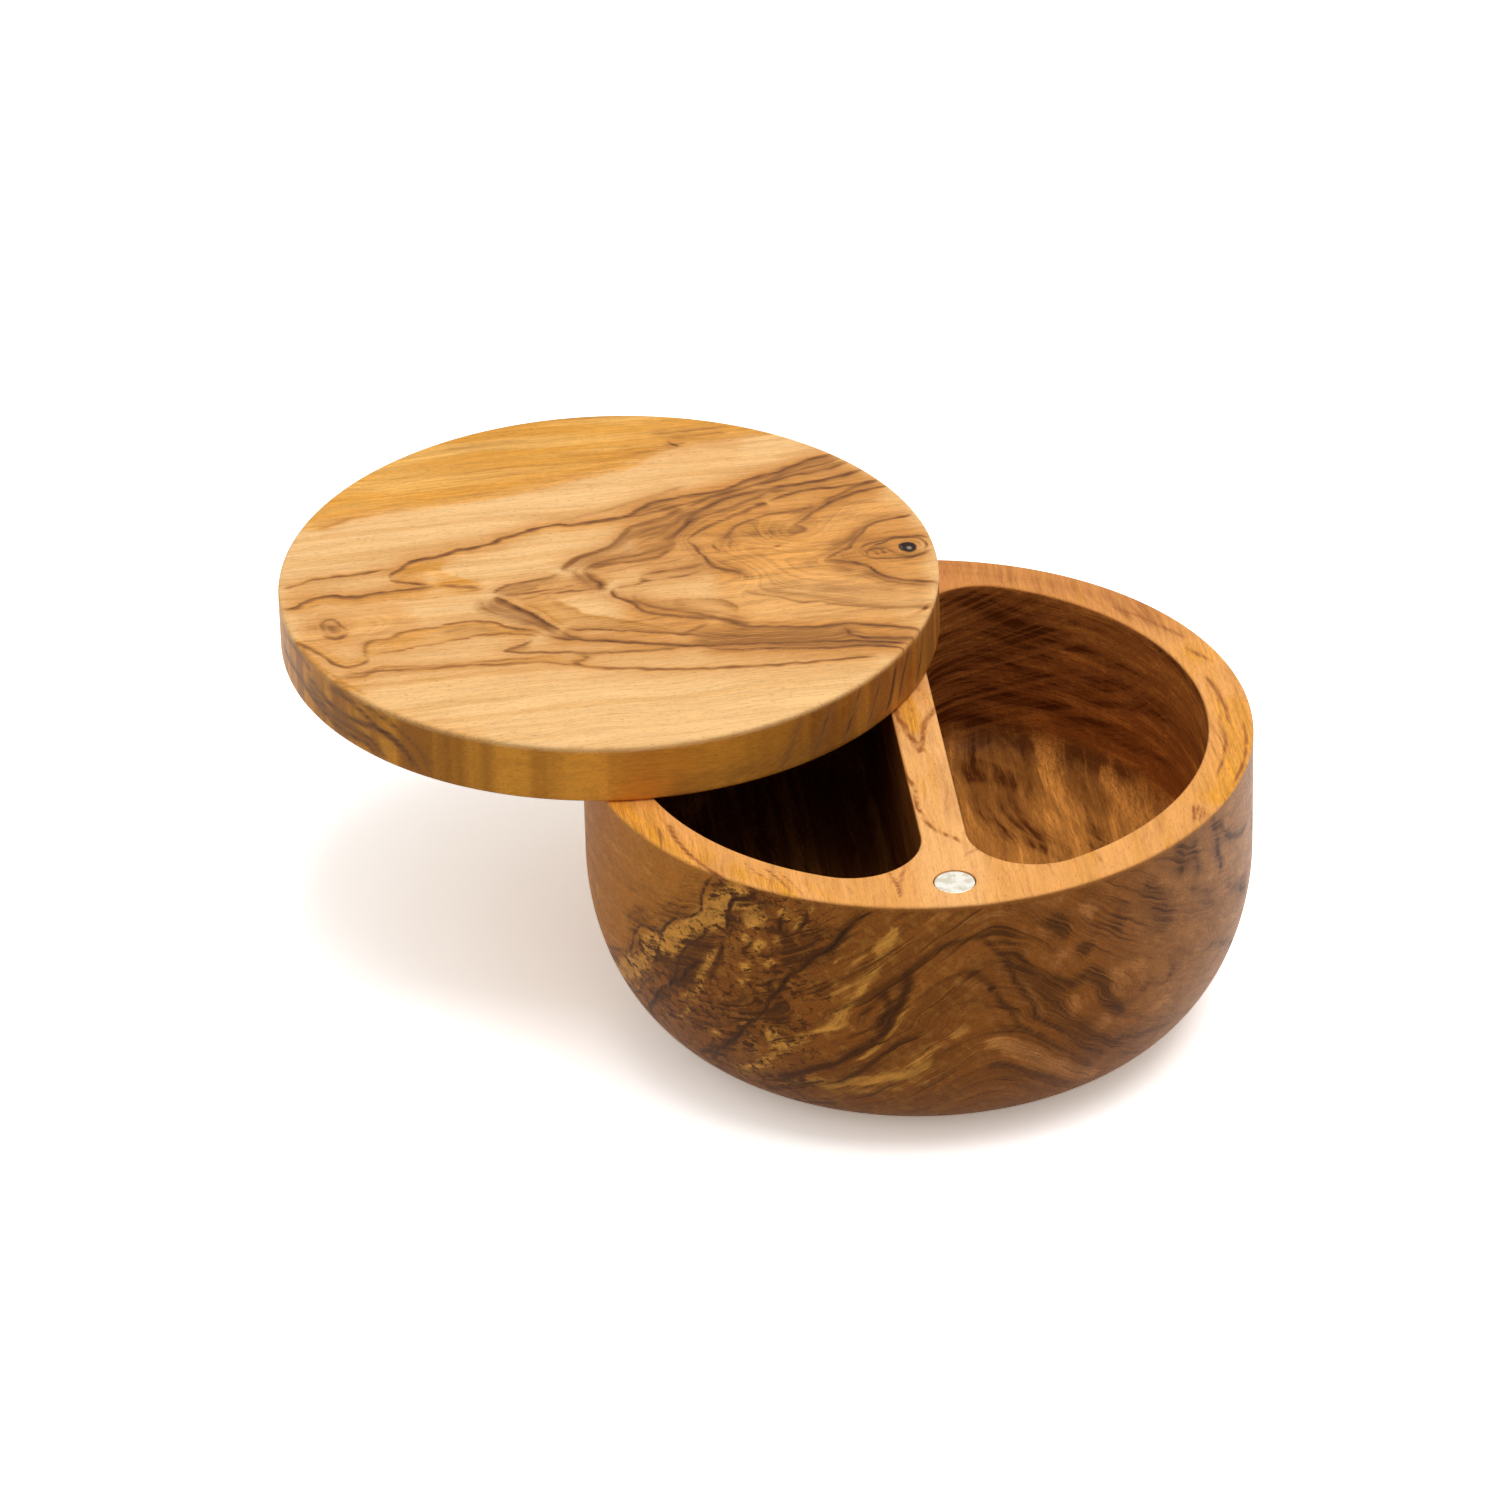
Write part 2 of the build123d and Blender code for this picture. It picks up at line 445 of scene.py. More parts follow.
def pocket_cutter(side):
    """A cutter for the pocket on the right (side 1) or the left (side -1)."""
    top = rim_height + above
    arc_x = divider_half + corner
    arc_y = math.sqrt((pocket_radius - corner) ** 2 - arc_x ** 2)
    sweep = math.atan2(arc_y, arc_x)
    deselect()
    bpy.ops.mesh.primitive_plane_add(size=1 * mm)
    piece = bpy.context.object
    open_piece(piece, "VERT")
    bpy.ops.mesh.select_all(action="SELECT")
    bpy.ops.mesh.merge(type="CENTER")
    bpy.ops.mesh.select_all(action="SELECT")
    bpy.ops.transform.translate(value=(divider_half - rim_rounding, arc_y, top))
    for run in range(divider_points):
        bpy.ops.mesh.extrude_vertices_move(
            TRANSFORM_OT_translate={"value": (0, -2 * arc_y / divider_points, 0)})
    for x, y, angle, steps in ((arc_x, -arc_y, math.pi - sweep, corner_points),
                               (0, 0, 2 * sweep, wall_points),
                               (arc_x, arc_y, math.pi - sweep, corner_points)):
        bpy.ops.mesh.spin(steps=steps, angle=angle, axis=(0, 0, -1), center=(x, y, top))
    bpy.ops.mesh.select_all(action="SELECT")
    bpy.ops.mesh.remove_doubles(threshold=2 * weld)
    bpy.ops.mesh.select_all(action="SELECT")
    if side < 0:
        bpy.ops.transform.resize(value=(-1, 1, 1), center_override=(0, 0, 0))
    bpy.ops.mesh.edge_face_add()
    bpy.ops.mesh.select_mode(type="FACE")
    bpy.ops.mesh.extrude_region_move(TRANSFORM_OT_translate={"value": (0, 0, -above)})
    inset_along_arc(rim_rounding, mouth_rows, opening=True)
    wall = np.linspace(rim_height - rim_rounding, pocket_floor + cove, pocket_wall_rows + 1)
    for high, low in zip(wall, wall[1:]):
        bpy.ops.mesh.extrude_region_move(TRANSFORM_OT_translate={"value": (0, 0, low - high)})
    inset_along_arc(cove, cove_rows, opening=False)
    bpy.ops.mesh.delete(type="ONLY_FACE")
    bpy.ops.mesh.select_mode(type="EDGE")
    pick(piece, "EDGE", lambda a, b: max(a.z, b.z) < pocket_floor + touching)
    bpy.ops.mesh.fill_grid(span=divider_points)
    bpy.ops.mesh.select_all(action="SELECT")
    bpy.ops.mesh.normals_make_consistent(inside=False)
    bpy.ops.object.mode_set(mode="OBJECT")
    return piece


bowl_magnet = middle("bowl_magnet")
bowl_magnet_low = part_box("bowl_magnet")[0]
cutters = [
    pocket_cutter(1), pocket_cutter(-1),
    drill(pin, (pin_high.x - pin_low.x) / 2, pin_low.z, rim_height + above),
    drill(bowl_magnet, recess_radius, bowl_magnet_low.z - glue_bed, rim_height + above)]
cut_away(bowl, cutters)
print("pockets cut:", len(bowl.data.polygons), "faces")
print("bowl:", finish_mesh(bowl), "triangles")

# %% [markdown]
# ## How olive wood gets its figure
# Olive grows slowly and unevenly. Its growth rings wander, and dark minerals fill some of them,
# so a board shows smoky brown flames on honey and cream. No noise texture draws those flames
# where a certain board has them. They could be painted as an image, but an image is fixed to one
# size and needs a file. Here they are drawn with strokes, as a decorator paints wood grain:
# each stroke is a line of listed points, with a soft edge of its own on either side, and
# it is painted onto the points of the mesh. A stroke may carry three paints: `line`, thin and
# dark; `smoke`, grey-brown haze; and `amber`, honey colour. The lid's `heart` and `halo` are laid
# on in the same way. A stroke on the lid may also say with `ring` which growth ring it follows.
# From those numbers a smooth field is stretched over the whole lid, and the material lets its
# growth lines and its mottling flow along it.

# %% Strokes
def points_of(text):
    """A stroke's points, written as 'x y, x y, ...' in millimetres."""
    return np.array([[float(value) for value in pair.split()] for pair in text.split(",")])


def smooth_path(points, step=0.5):
    """A smooth curve through the points, sampled about every step."""
    p = np.vstack([2 * points[0] - points[1], points, 2 * points[-1] - points[-2]])
    found = []
    for a, b, c, d in zip(p, p[1:], p[2:], p[3:]):
        count = max(2, int(np.hypot(*(c - b)) / step))
        t = np.linspace(0, 1, count, endpoint=False)[:, None]
        found.append(0.5 * (2 * b + (c - a) * t + (2 * a - 5 * b + 4 * c - d) * t ** 2
                            + (3 * b - a - 3 * c + d) * t ** 3))
    return np.vstack(found + [p[-2:-1]])


def nearest(where, path):
    """For each place: distance to the path, is it on the path's left, and how far along."""
    start, run = path[:-1], np.diff(path, axis=0)
    length = np.hypot(run[:, 0], run[:, 1]) + 1e-9
    before = np.concatenate([[0], np.cumsum(length)[:-1]])
    distance, left, along = (np.zeros(len(where)) for _ in range(3))
    batch = 20000
    for first in range(0, len(where), batch):
        part = where[first:first + batch]
        offset = part[:, None] - start
        t = np.clip((offset * run).sum(-1) / length ** 2, 0, 1)
        gap = offset - t[..., None] * run
        far = np.hypot(gap[..., 0], gap[..., 1])
        best = far.argmin(1)
        row = np.arange(len(part))
        side = run[best, 0] * offset[row, best, 1] - run[best, 1] * offset[row, best, 0]
        distance[first:first + batch] = far[row, best]
        left[first:first + batch] = side > 0
        along[first:first + batch] = before[best] + t[row, best] * length[best]
    return distance, left > 0.5, along, before[-1] + length[-1]


def value_noise(x, seed):
    """Smooth random values from 0 to 1 along a line."""
    table = np.random.default_rng(seed).random(1024)
    whole = np.floor(x).astype(int)
    t = x - whole
    t = t * t * (3 - 2 * t)
    return table[whole % len(table)] * (1 - t) + table[(whole + 1) % len(table)] * t


def wander(where, size, amount, seed):
    """Moves the places a little, so that no stroke looks ruled."""
    random = np.random.default_rng(seed)
    moved = where.copy()
    waves = 10
    root_of_waves = 3.2
    for axis in (0, 1):
        for _ in range(waves):
            heading = random.normal(size=2)
            heading /= np.hypot(*heading) * size * random.uniform(0.6, 1.7)
            phase = random.uniform(0, 2 * math.pi)
            moved[:, axis] += amount / root_of_waves * np.sin(
                2 * math.pi * where @ heading + phase)
    return moved


def paint(where, strokes, paints=("line", "smoke", "amber")):
    """Lays every stroke's paints over the places and returns how strong each paint is there."""
    coats = {name: np.zeros(len(where)) for name in paints}
    for number, (text, look) in enumerate(strokes):
        path = smooth_path(points_of(text))
        layers = {name: look[name] for name in paints if name in look}
        if not layers:
            continue
        reach = 2.8 * max(max(widths[1:]) for widths in layers.values())  # past it nothing shows
        near = np.all((where > path.min(0) - reach) & (where < path.max(0) + reach), axis=1)
        if not near.any():
            continue
        distance, left, along, total = nearest(where[near], path)
        # the paint thins out at both ends, and varies along the stroke and across it
        ends = np.clip(np.minimum(along, total - along) / min(3, total / 3), 0, 1) ** 0.7
        uneven = 0.72 + 0.42 * value_noise(along * 0.45 + 31 * number, number)
        streaks = 0.75 + 0.5 * value_noise(distance * 1.6 + 0.08 * along, number + 500)
        for name, (strength, left_width, right_width) in layers.items():
            width = np.where(left, left_width, right_width)
            coat = strength * ends * np.exp(-(distance / width) ** 1.6)
            coat *= uneven if name == "line" else streaks
            coats[name][near] = 1 - (1 - coats[name][near]) * (1 - np.clip(coat, 0, 1))
    return coats


def ring_field(where, strokes, softness=2.0):
    """A smooth sheet stretched through the strokes' ring numbers (a thin plate spline)."""
    marked = [(smooth_path(points_of(text), 4), look["ring"]) for text, look in strokes
              if "ring" in look]
    known = np.vstack([path for path, _ in marked])
    value = np.concatenate([np.full(len(path), float(ring)) for path, ring in marked])

    def pull(a, b):
        far = ((a[:, None] - b) ** 2).sum(-1)
        return 0.5 * far * np.log(np.maximum(far, 1e-12))

    count = len(known)
    system = np.zeros((count + 3, count + 3))
    system[:count, :count] = pull(known, known) + softness * np.eye(count)
    system[:count, count] = system[count, :count] = 1
    system[:count, count + 1:] = known
    system[count + 1:, :count] = known.T
    weight = np.linalg.solve(system, np.concatenate([value, np.zeros(3)]))
    field = np.zeros(len(where))
    batch = 8000
    for first in range(0, len(where), batch):
        part = where[first:first + batch]
        field[first:first + batch] = (pull(part, known) @ weight[:count] + weight[count]
                                      + part @ weight[count + 1:])
    return field


def soft_step(value, low, high):
    t = np.clip((value - low) / (high - low), 0, 1)
    return t * t * (3 - 2 * t)


def points_mm(piece):
    """The piece's points in millimetres, one row each."""
    flat = np.empty(len(piece.data.vertices) * 3, np.float32)
    piece.data.vertices.foreach_get("co", flat)
    return flat.reshape(-1, 3).astype(float) / mm


def store(piece, name, values):
    """Writes one number on every point of the piece, for its material to read."""
    attribute = piece.data.attributes.new(name, "FLOAT", "POINT")
    attribute.data.foreach_set("value", values.astype(np.float32))
    print(f"{piece.name}.{name}: {values.min():.2f} to {values.max():.2f}")


# %% [markdown]
# ## The lid's flames
# The strokes are in millimetres from the lid's centre, x to the right and y to the back. Each
# paint is (strength, width on the stroke's left, width on its right): flames have one crisp side
# and one that fades. The outer flame opens to the right like a book, four more nest inside it,
# and a knot with its eye sits at the right edge. The back third is honey-coloured and plain, and
# the front third is pale with a few faint lines.

# %% Strokes on the lid's top
lid_strokes = [
    # outer flame, upper branch
    ("-44.2 5, -43.3 6.8, -42 8, -40.7 9.5, -39.3 11.2, -37 12.2, -34 12.5, -32 13.5, -29.5 "
     "14.7, -27 14.9, -24 16, -21.5 17, -20 18.2, -17 19.5, -14.5 20.5, -12 21.7, -9 22.1, "
     "-5.5 21.6, -2 22.2, 2 22.6, 5 23",
     dict(line=(.8, .3, .8), amber=(.6, .3, 2.2), ring=0)),
    ("2 22.6, 5 23, 7 24.2, 8.5 25.8, 11 27.7, 14 28.9, 18 29.8, 22 30.4, 26 31.3, 29 32.9, 32 "
     "34.9, 35 36.3, 38.5 37.1, 41 38.9, 44 40.7, 47 41.9, 51 43.2",
     dict(line=(.8, .3, .7), smoke=(.4, .3, 1.6), ring=0)),
    ("-44.2 5, -43.6 4.2, -41.5 3.3, -39.5 2.4, -37.5 1.8, -35.6 1.5",
     dict(line=(.8, .8, .3), amber=(.6, 2.2, .3), ring=0)),
    ("-35 1.2, -36.5 .8, -39 .4, -43 .1, -47 -.2, -50 -.9, -53 -.7, -55 0, -57.5 .1, -60 -.8, "
     "-62 -2.2, -63 -3.6, -66.5 -4.2",
     dict(line=(.7, .9, .3), amber=(.8, 2.9, .3), ring=0)),
    ("-63 -5, -60 -4.3, -57.5 -2.6, -55 -3.8, -50 -3.9, -45 -3.3, -40 -3.8, -35 -3.8, -30 "
     "-3.1, -27 -2.1, -23.5 -1.3",
     dict(line=(.2, .5, .4), amber=(.3, 1.5, .3), ring=3)),
    ("-36 1, -32 .6, -28 -.6, -25 -1.3",
     dict(line=(.4, 1, 1), amber=(.8, 2.4, 2))),
    ("-42 5.8, -38 8, -34.5 9.5",
     dict(amber=(.7, 2.6, 2.6))),
    ("-32.5 12.2, -32 10, -33.5 8, -33 6, -30.5 4, -28 2, -26 .5",
     dict(amber=(.7, .3, 4))),
    ("-66.5 3.8, -62 5, -60 6.3, -57 7, -50 7.6, -46 8.4, -42.6 8.8",
     dict(line=(.5, .7, .3), amber=(.3, 1.4, .3), ring=-3)),
    ("-10 22.4, -5 23.8, 0 25.6, 4 27, 8 28.9, 12 30.6, 16 32.4, 20 34.2",
     dict(line=(.3, .9, .3), ring=-2)),
    # the smoky lens under the upper branch
    ("5.5 22.5, 9.5 23.6, 13 25, 15.5 26.2, 18 26.7, 21 27.7, 25 29.2, 29 30.6, 33 32.4, 37 "
     "34.6, 40 36.2, 45 38, 52 40.7",
     dict(line=(.6, .5, .4), smoke=(.3, 1.2, .4), ring=2.5)),
    ("7.5 25, 10.5 26, 13.5 27.2, 15.5 27.9",
     dict(smoke=(.8, 1.6, 1.6))),
    ("12.5 24.6, 15.5 25.5, 17.5 24.7",
     dict(line=(.6, .7, .7))),
    ("33 31.5, 36 33, 40.5 35, 47 36.4, 53.5 39.2",
     dict(line=(.7, .4, .5), smoke=(.5, 2.2, .6), ring=4)),
    ("36 38.2, 42 38.9, 47 40.3, 52 42",
     dict(smoke=(.3, .8, 1.4))),
    ("35.5 30.3, 37.5 31, 41 31.5, 46 32.2, 50.5 33.7, 56 35.9",
     dict(line=(.8, .5, .7), smoke=(.5, .5, 1.6), ring=6)),
    ("34 30.4, 36 29.6, 37.5 29.2, 39 29.8",
     dict(line=(.6, .6, .6), smoke=(.6, 1.2, 1.2))),
    ("35 25.2, 38 27, 41 28.2, 45 29.2, 50 29.2, 55 30, 59 31.2",
     dict(line=(.8, .4, .6), amber=(.3, .4, 2), ring=9)),
    ("45 22.7, 50 26.4, 54 29, 58.5 30.6",
     dict(line=(.6, .4, .5), ring=11)),
    ("39 15.2, 41 16.6, 44.5 20.5, 48 23.4, 53 26.4, 60 28.6",
     dict(line=(.8, .3, .6), smoke=(.3, 1.8, .4), ring=14)),
    ("39 15.2, 40.2 14, 41 12.6, 39 11.3, 36.5 10.3",
     dict(line=(.6, .5, .5), smoke=(.4, .4, 1.8), ring=14)),
    # second flame: line B and the spine
    ("-9.2 3, -8.2 5.4, -6.5 7.3, -2 9.7, 1.5 12, 3.5 14.5, 5 17, 6.3 18.8, 9.5 19.9, 13 21.5, "
     "15.5 23.2, 18 25",
     dict(line=(.6, .5, .9), smoke=(.8, .7, 2.2), ring=8)),
    ("18 25, 21 27, 25.5 29.7, 30 31.4",
     dict(line=(.5, .4, .6), ring=6)),
    ("-24 -4.5, -22.8 -2.7, -21 -1.2, -18 -.3, -15 .5, -11.5 1.3, -9.6 2.8",
     dict(line=(.6, .3, .8), smoke=(.5, .3, 2.2), ring=7)),
    ("-23 -4.8, -19 -4.3, -15 -2.7, -14 -.7",
     dict(line=(.3, .6, .4), smoke=(.5, 1.5, .3))),
    ("-23.8 -4.9, -22 -6.5, -20.3 -8.5, -18.6 -10.5, -16.6 -12.7, -14.6 -16, -12.8 -18.5, -11 "
     "-20.2",
     dict(line=(.8, .3, 1.6), smoke=(.9, .4, 3.6), ring=8)),
    ("-25.5 -6.5, -23.5 -9.5, -21 -12.3, -18 -15, -15.5 -18",
     dict(smoke=(.6, 1.4, 2.2))),
    ("-28 -10, -25 -9.6, -22.5 -10.2",
     dict(line=(.3, .6, .6), smoke=(.5, 1, 1))),
    ("-27.5 -7, -25.5 -7.5",
     dict(smoke=(.4, 1.2, 1.2))),
    ("-14.6 -21.3, -13 -22.8, -10 -24.2, -7 -24.8, -2 -25.9, 3 -27.3, 8 -28.8, 12 -29.7, 18 "
     "-30.4, 26 -30.9, 34 -31.6, 44 -32.4, 52 -34, 57 -35",
     dict(line=(.8, .7, .4), smoke=(.5, 1.3, .4), ring=4)),
    ("-11.5 -20.2, -9.8 -22.8, -7.5 -24.4",
     dict(line=(.6, .6, .6), smoke=(.5, 1.2, 1.2))),
    ("-22 -5.1, -17 -4.6, -13 -4, -9 -3.3, -6 -2",
     dict(line=(.5, .3, .5), ring=9)),
    ("-19 -7, -16 -6.3, -12 -5.4, -5 -4.6, -2.5 -4.6",
     dict(line=(.6, .3, .5), ring=10)),
    # tan band right of the spine
    ("-11.5 -6.6, -10.5 -9.5, -8 -11.7, -6.5 -14, -4 -15.6, 0 -17.4, 4 -19.4, 8 -21.6, 12 -24",
     dict(amber=(.6, .3, 6), smoke=(.3, .3, 5), ring=11)),
    ("-18 -8, -15 -11, -12.5 -15, -10.5 -18.5",
     dict(amber=(.5, 4, 1.5), smoke=(.2, 3, 1))),
    ("-11 -20, -7 -20.5, -3 -21.2, 3 -22.7, 8 -23.9, 11.5 -24.9, 15 -26.2, 20 -27.4, 26 -28",
     dict(line=(.6, .6, .3), smoke=(.4, 1.6, .3), ring=9)),
    # third flame: C
    ("-5 2.3, -3 4.3, -.5 5.6, 5 7.1, 9.5 8.5, 13 10.2, 16 11.6",
     dict(line=(.6, .5, .6), smoke=(.5, 1.8, .6), ring=12)),
    ("-3.5 2.6, -.5 4.5, 5 5, 10 5.5, 12 7.6, 14.5 9.8",
     dict(line=(.6, .4, .5), smoke=(.5, 1.6, .4), ring=13)),
    ("-5 2.5, -3.8 .6, -3 -1.4, -2 -2.8, -2.2 -4.4, -.5 -5.2",
     dict(line=(.8, .7, .7), smoke=(.7, 1.4, 1.8), ring=12)),
    ("-7.5 4, -6.5 1, -5.5 -1.2, -4.5 -3.2, -3.8 -5",
     dict(line=(.4, .5, .5), smoke=(.5, 1.2, 1.2), ring=10)),
    ("-4 1.5, -1 1.3, 2 1.9, 5 3, 9 3.5, 14 4.1, 18 5",
     dict(line=(.3, .3, .4), ring=14)),
    ("6 -1.3, 10 .2, 14 .6, 18 1.5, 20.5 2.6",
     dict(line=(.5, .4, .6), smoke=(.3, 1.4, 1.2), ring=16)),
    ("5.8 -1.5, 6.8 -2.8, 8.2 -3.4",
     dict(line=(.3, .8, .8))),
    # fourth flame: D
    (".3 -5, 4 -4.8, 7 -3.6, 11.5 -3, 16 -2, 20 -.6",
     dict(line=(.5, .5, .3), smoke=(.2, 1.3, .4), ring=15)),
    (".2 -4.9, .2 -6.8, .6 -8.6, 2 -10, 4 -12, 5.5 -14.7, 8 -16.5, 13 -18.4, 17 -19.5, 20 "
     "-20.3",
     dict(line=(.8, .5, .3), smoke=(.6, 1.4, .6), ring=15)),
    ("20 -20.3, 23 -22.4, 25.5 -24, 30 -24.9, 35.5 -25.8, 41 -26.2, 45 -25.8, 50 -27, 55 "
     "-28.5, 60.5 -30.4",
     dict(line=(.7, .6, .4), smoke=(.4, .5, 1.6), ring=14)),
    ("1.5 -9.4, 4.5 -11.3, 9.5 -14.6, 15 -17, 19.5 -19.6, 23 -21.6, 26 -23.6",
     dict(line=(.5, .6, .5), smoke=(.6, 2, .6), ring=16)),
    ("5 -10.6, 9.5 -11.3, 15 -11.5, 20 -12.1, 22.5 -13.5, 24 -15.5, 23.8 -19",
     dict(line=(.2, .3, .5), smoke=(.4, .2, 3.2), amber=(.3, .3, 4), ring=18)),
    ("11 -12.8, 13.2 -13.2, 14.8 -14.8",
     dict(smoke=(.6, 1.2, 1.2), line=(.3, .6, .6))),
    ("22 -19.5, 24 -22, 26 -23.5",
     dict(smoke=(.7, 1.8, 1.8))),
    ("18.3 -21.2, 16.2 -23.2, 14.5 -24, 12 -24.6",
     dict(line=(.5, .5, .6), ring=12)),
    ("17 -24.2, 22 -25.2, 27 -25.6",
     dict(amber=(.4, 2, 1.2), smoke=(.3, 1.4, 1.4))),
    # smoky long grain, lower right
    ("14 -26.5, 20 -28.4, 28 -29.2, 36 -29.6, 43 -29.2, 48 -28.6",
     dict(smoke=(.8, 3.2, 3.4))),
    ("20 -27.5, 28 -28, 36 -28.5, 44 -28",
     dict(line=(.3, .4, .4), ring=11)),
    ("18 -29, 26 -29.6, 34 -30, 42 -30.3",
     dict(line=(.3, .4, .4), ring=9)),
    ("16 -31, 18.5 -31.9, 24 -32.8, 30 -33.3, 35.5 -34, 41 -34.6, 47.5 -34.8, 52 -35.6, 56 "
     "-37.2",
     dict(line=(.8, .5, .3), smoke=(.3, 1.6, .3), ring=2)),
    ("30 -32, 38 -33, 46 -33.6, 54 -35.4",
     dict(smoke=(.5, 1.4, 1.2), line=(.3, .4, .4), ring=3)),
    ("44.2 -26.6, 45 -28.5, 45.6 -30, 48 -31.4, 53 -32.5, 59 -33.2",
     dict(line=(.8, .6, .6), smoke=(.5, 1.4, 1.4), ring=7)),
    ("46 -27, 49 -28.4, 54 -30.2, 60 -32",
     dict(amber=(.4, 1.4, 1), line=(.2, .4, .4), ring=9)),
    # fifth flame: E, down the middle of the right half
    ("16 12, 17.5 12.7, 18.5 14, 21 16.2, 24 18.2, 27.5 20.6, 30 22.2, 32.5 23.7, 35 24.6",
     dict(line=(.7, .3, .5), smoke=(.3, 1.6, .4), ring=17)),
    ("32 24, 33.6 24.4, 35 24.7",
     dict(line=(.9, .8, .8))),
    ("16.5 11.9, 17.5 10.6, 18.7 8.6, 19.4 6, 20.3 3, 21 .6, 23 -.6, 25.5 -2, 27.3 -4.4",
     dict(line=(.7, .5, .5), smoke=(.7, 1, 1.5), ring=17)),
    ("20.5 4, 22.5 1.5, 25 -1, 27.5 -3.8, 29 -6",
     dict(smoke=(.5, 2.4, 1.6))),
    ("22.5 10, 22 8.5, 23 7, 22.6 5.4",
     dict(line=(.6, .4, .4), ring=20)),
    ("22.5 10, 25 12.6, 26 14.6, 28 16.6, 32 19.1, 36 20.3, 41 21.1, 45 22.6",
     dict(line=(.6, .3, .6), smoke=(.2, 1.4, .5), ring=20)),
    ("25.4 6, 25.5 10, 25.8 12.6, 26.6 15",
     dict(line=(.4, .4, .5), smoke=(.2, .4, 1.6), ring=21)),
    ("26 8, 31 6.5, 36 7.2",
     dict(line=(.2, .5, .8), amber=(.3, 1.5, 1.5), ring=23)),
    ("28 12, 32 13, 37 12.5, 40 15",
     dict(smoke=(.5, 3.6, 3.2), amber=(.5, 4, 4))),
    # slanting streaks between B and E
    ("6.5 14.6, 10 17.3, 15 19.3, 18 22.6, 21 24.8",
     dict(line=(.5, .5, .6), smoke=(.5, 1.2, 1.6), ring=10)),
    ("5.5 12.6, 9 13.4, 12 15.2, 15.5 18.4",
     dict(line=(.3, .5, .5), smoke=(.4, 1.2, 1.4), ring=11)),
    ("13 12.4, 15 14.6, 17 17.5, 19.2 21.8, 23 25, 26 27.4, 30 29, 35 30.1",
     dict(line=(.8, .6, .6), smoke=(.6, 1, 1.6), ring=12)),
    ("16.2 16.5, 20 20.4, 23.5 22, 28 24.2, 32.5 27, 36 29.4",
     dict(line=(.6, .5, .5), smoke=(.3, 1, 1), ring=14)),
    ("12 11.6, 13.4 13.4, 14.6 15.4",
     dict(line=(.4, .7, .7), smoke=(.6, 1.8, 1.8))),
    ("7 8.8, 11 10.3, 14 12.2",
     dict(smoke=(.5, 1.4, 1.4), line=(.2, .5, .5), ring=12.5)),
    ("2 7.2, 6 9.8, 9 12",
     dict(smoke=(.3, 1, 1.2))),
    ("6 24.5, 12 26, 19 28.4, 26 30.3",
     dict(amber=(.2, 1.4, 1.4))),
    ("22 24.6, 25.5 27.3, 29 29.4",
     dict(smoke=(.4, 1.1, 1.1))),
    # knot and its eye
    ("43.9 .3, 46 2, 49 4, 50 5.6, 52 9, 53.7 12, 56.5 14, 60 14.6, 64 16.4",
     dict(line=(.7, .5, .3), smoke=(.4, 1.6, .3), ring=26)),
    ("48 5.5, 50 7.6, 51.5 10.5, 53 12.2",
     dict(line=(.5, .5, .5), smoke=(.5, 1.3, 1), ring=24.5)),
    ("43.9 .3, 47 -.8, 50 -2, 52 -3.5, 53 -5, 54.5 -7.4, 57 -9.2, 60 -10.5, 66 -12.2",
     dict(line=(.8, .3, .6), smoke=(.5, .4, 2), ring=26)),
    ("51.5 -5, 53 -7.2, 55.5 -10, 58 -11.6, 63 -12.8",
     dict(smoke=(.4, 1, 1.2), line=(.2, .5, .5), ring=24.5)),
    ("44.5 -2.6, 47 -3.8, 49.5 -5.6",
     dict(smoke=(.6, 1.2, 1.4))),
    ("45.5 7, 47 6, 48 5",
     dict(smoke=(.5, 1.8, 1.8))),
    ("50.6 2.4, 52 4.2, 54 5.4, 56.5 6.6, 60 7.4, 63.5 7.1, 66 5.9",
     dict(line=(.8, .3, .5), ring=30)),
    ("50.6 2.4, 52 .4, 54 -.8, 57 -1.2, 61 -1.2, 65.5 0",
     dict(line=(.6, .5, .3), ring=30)),
    ("53 2.9, 55 4.6, 57.5 6.2, 60.5 6.9, 63.5 6.2, 64.8 3.6, 64.2 .6",
     dict(line=(.55, .3, .3), ring=32)),
    ("57.6 .8, 59 -.2, 61.6 -.6, 64.2 .2, 66 1.2",
     dict(line=(.8, .4, .4), smoke=(.3, .8, .8))),
    ("58.8 4.8, 60.4 5.5, 62.4 5.2, 63.6 3.8, 63.6 1.8",
     dict(line=(.4, .25, .25))),
    ("51.6 2.5, 53.2 2.6, 54.6 3.3, 56 3, 57.2 3.9",
     dict(line=(.85, .35, .35))),
    ("52.6 2.6, 52.7 1.4, 53.2 .6",
     dict(line=(.6, .25, .25))),
    ("54.4 2.9, 54.5 1.6, 55.1 .4",
     dict(line=(.7, .25, .25))),
    ("55.6 2.8, 55.8 1.6, 56.6 .6",
     dict(line=(.75, .3, .3))),
    ("56.8 2.9, 57.3 1.7, 58.2 .8",
     dict(line=(.7, .3, .3))),
    ("54.2 4.6, 56 4.9, 57.4 5.4",
     dict(line=(.6, .3, .3))),
    # pale and dark checks
    ("34 15, 34.1 12, 34.3 9",
     dict(line=(.5, .2, .2))),
    ("34.8 7.2, 35.2 6.6",
     dict(line=(.9, .4, .4))),
    ("17.2 53.4, 18.2 51.8, 19.4 50.4",
     dict(line=(.9, .3, .3), smoke=(.4, .9, .9))),
    ("15.6 51.9, 18.6 51.6, 21.6 52.4",
     dict(line=(.5, .25, .25))),
    # mottled smoke, right of centre
    ("26 -9.2, 28 -11.4, 33 -13.1, 35.5 -15.4, 38 -16.3, 41 -16.1, 43 -17.6, 47 -19, 53 -20.8, "
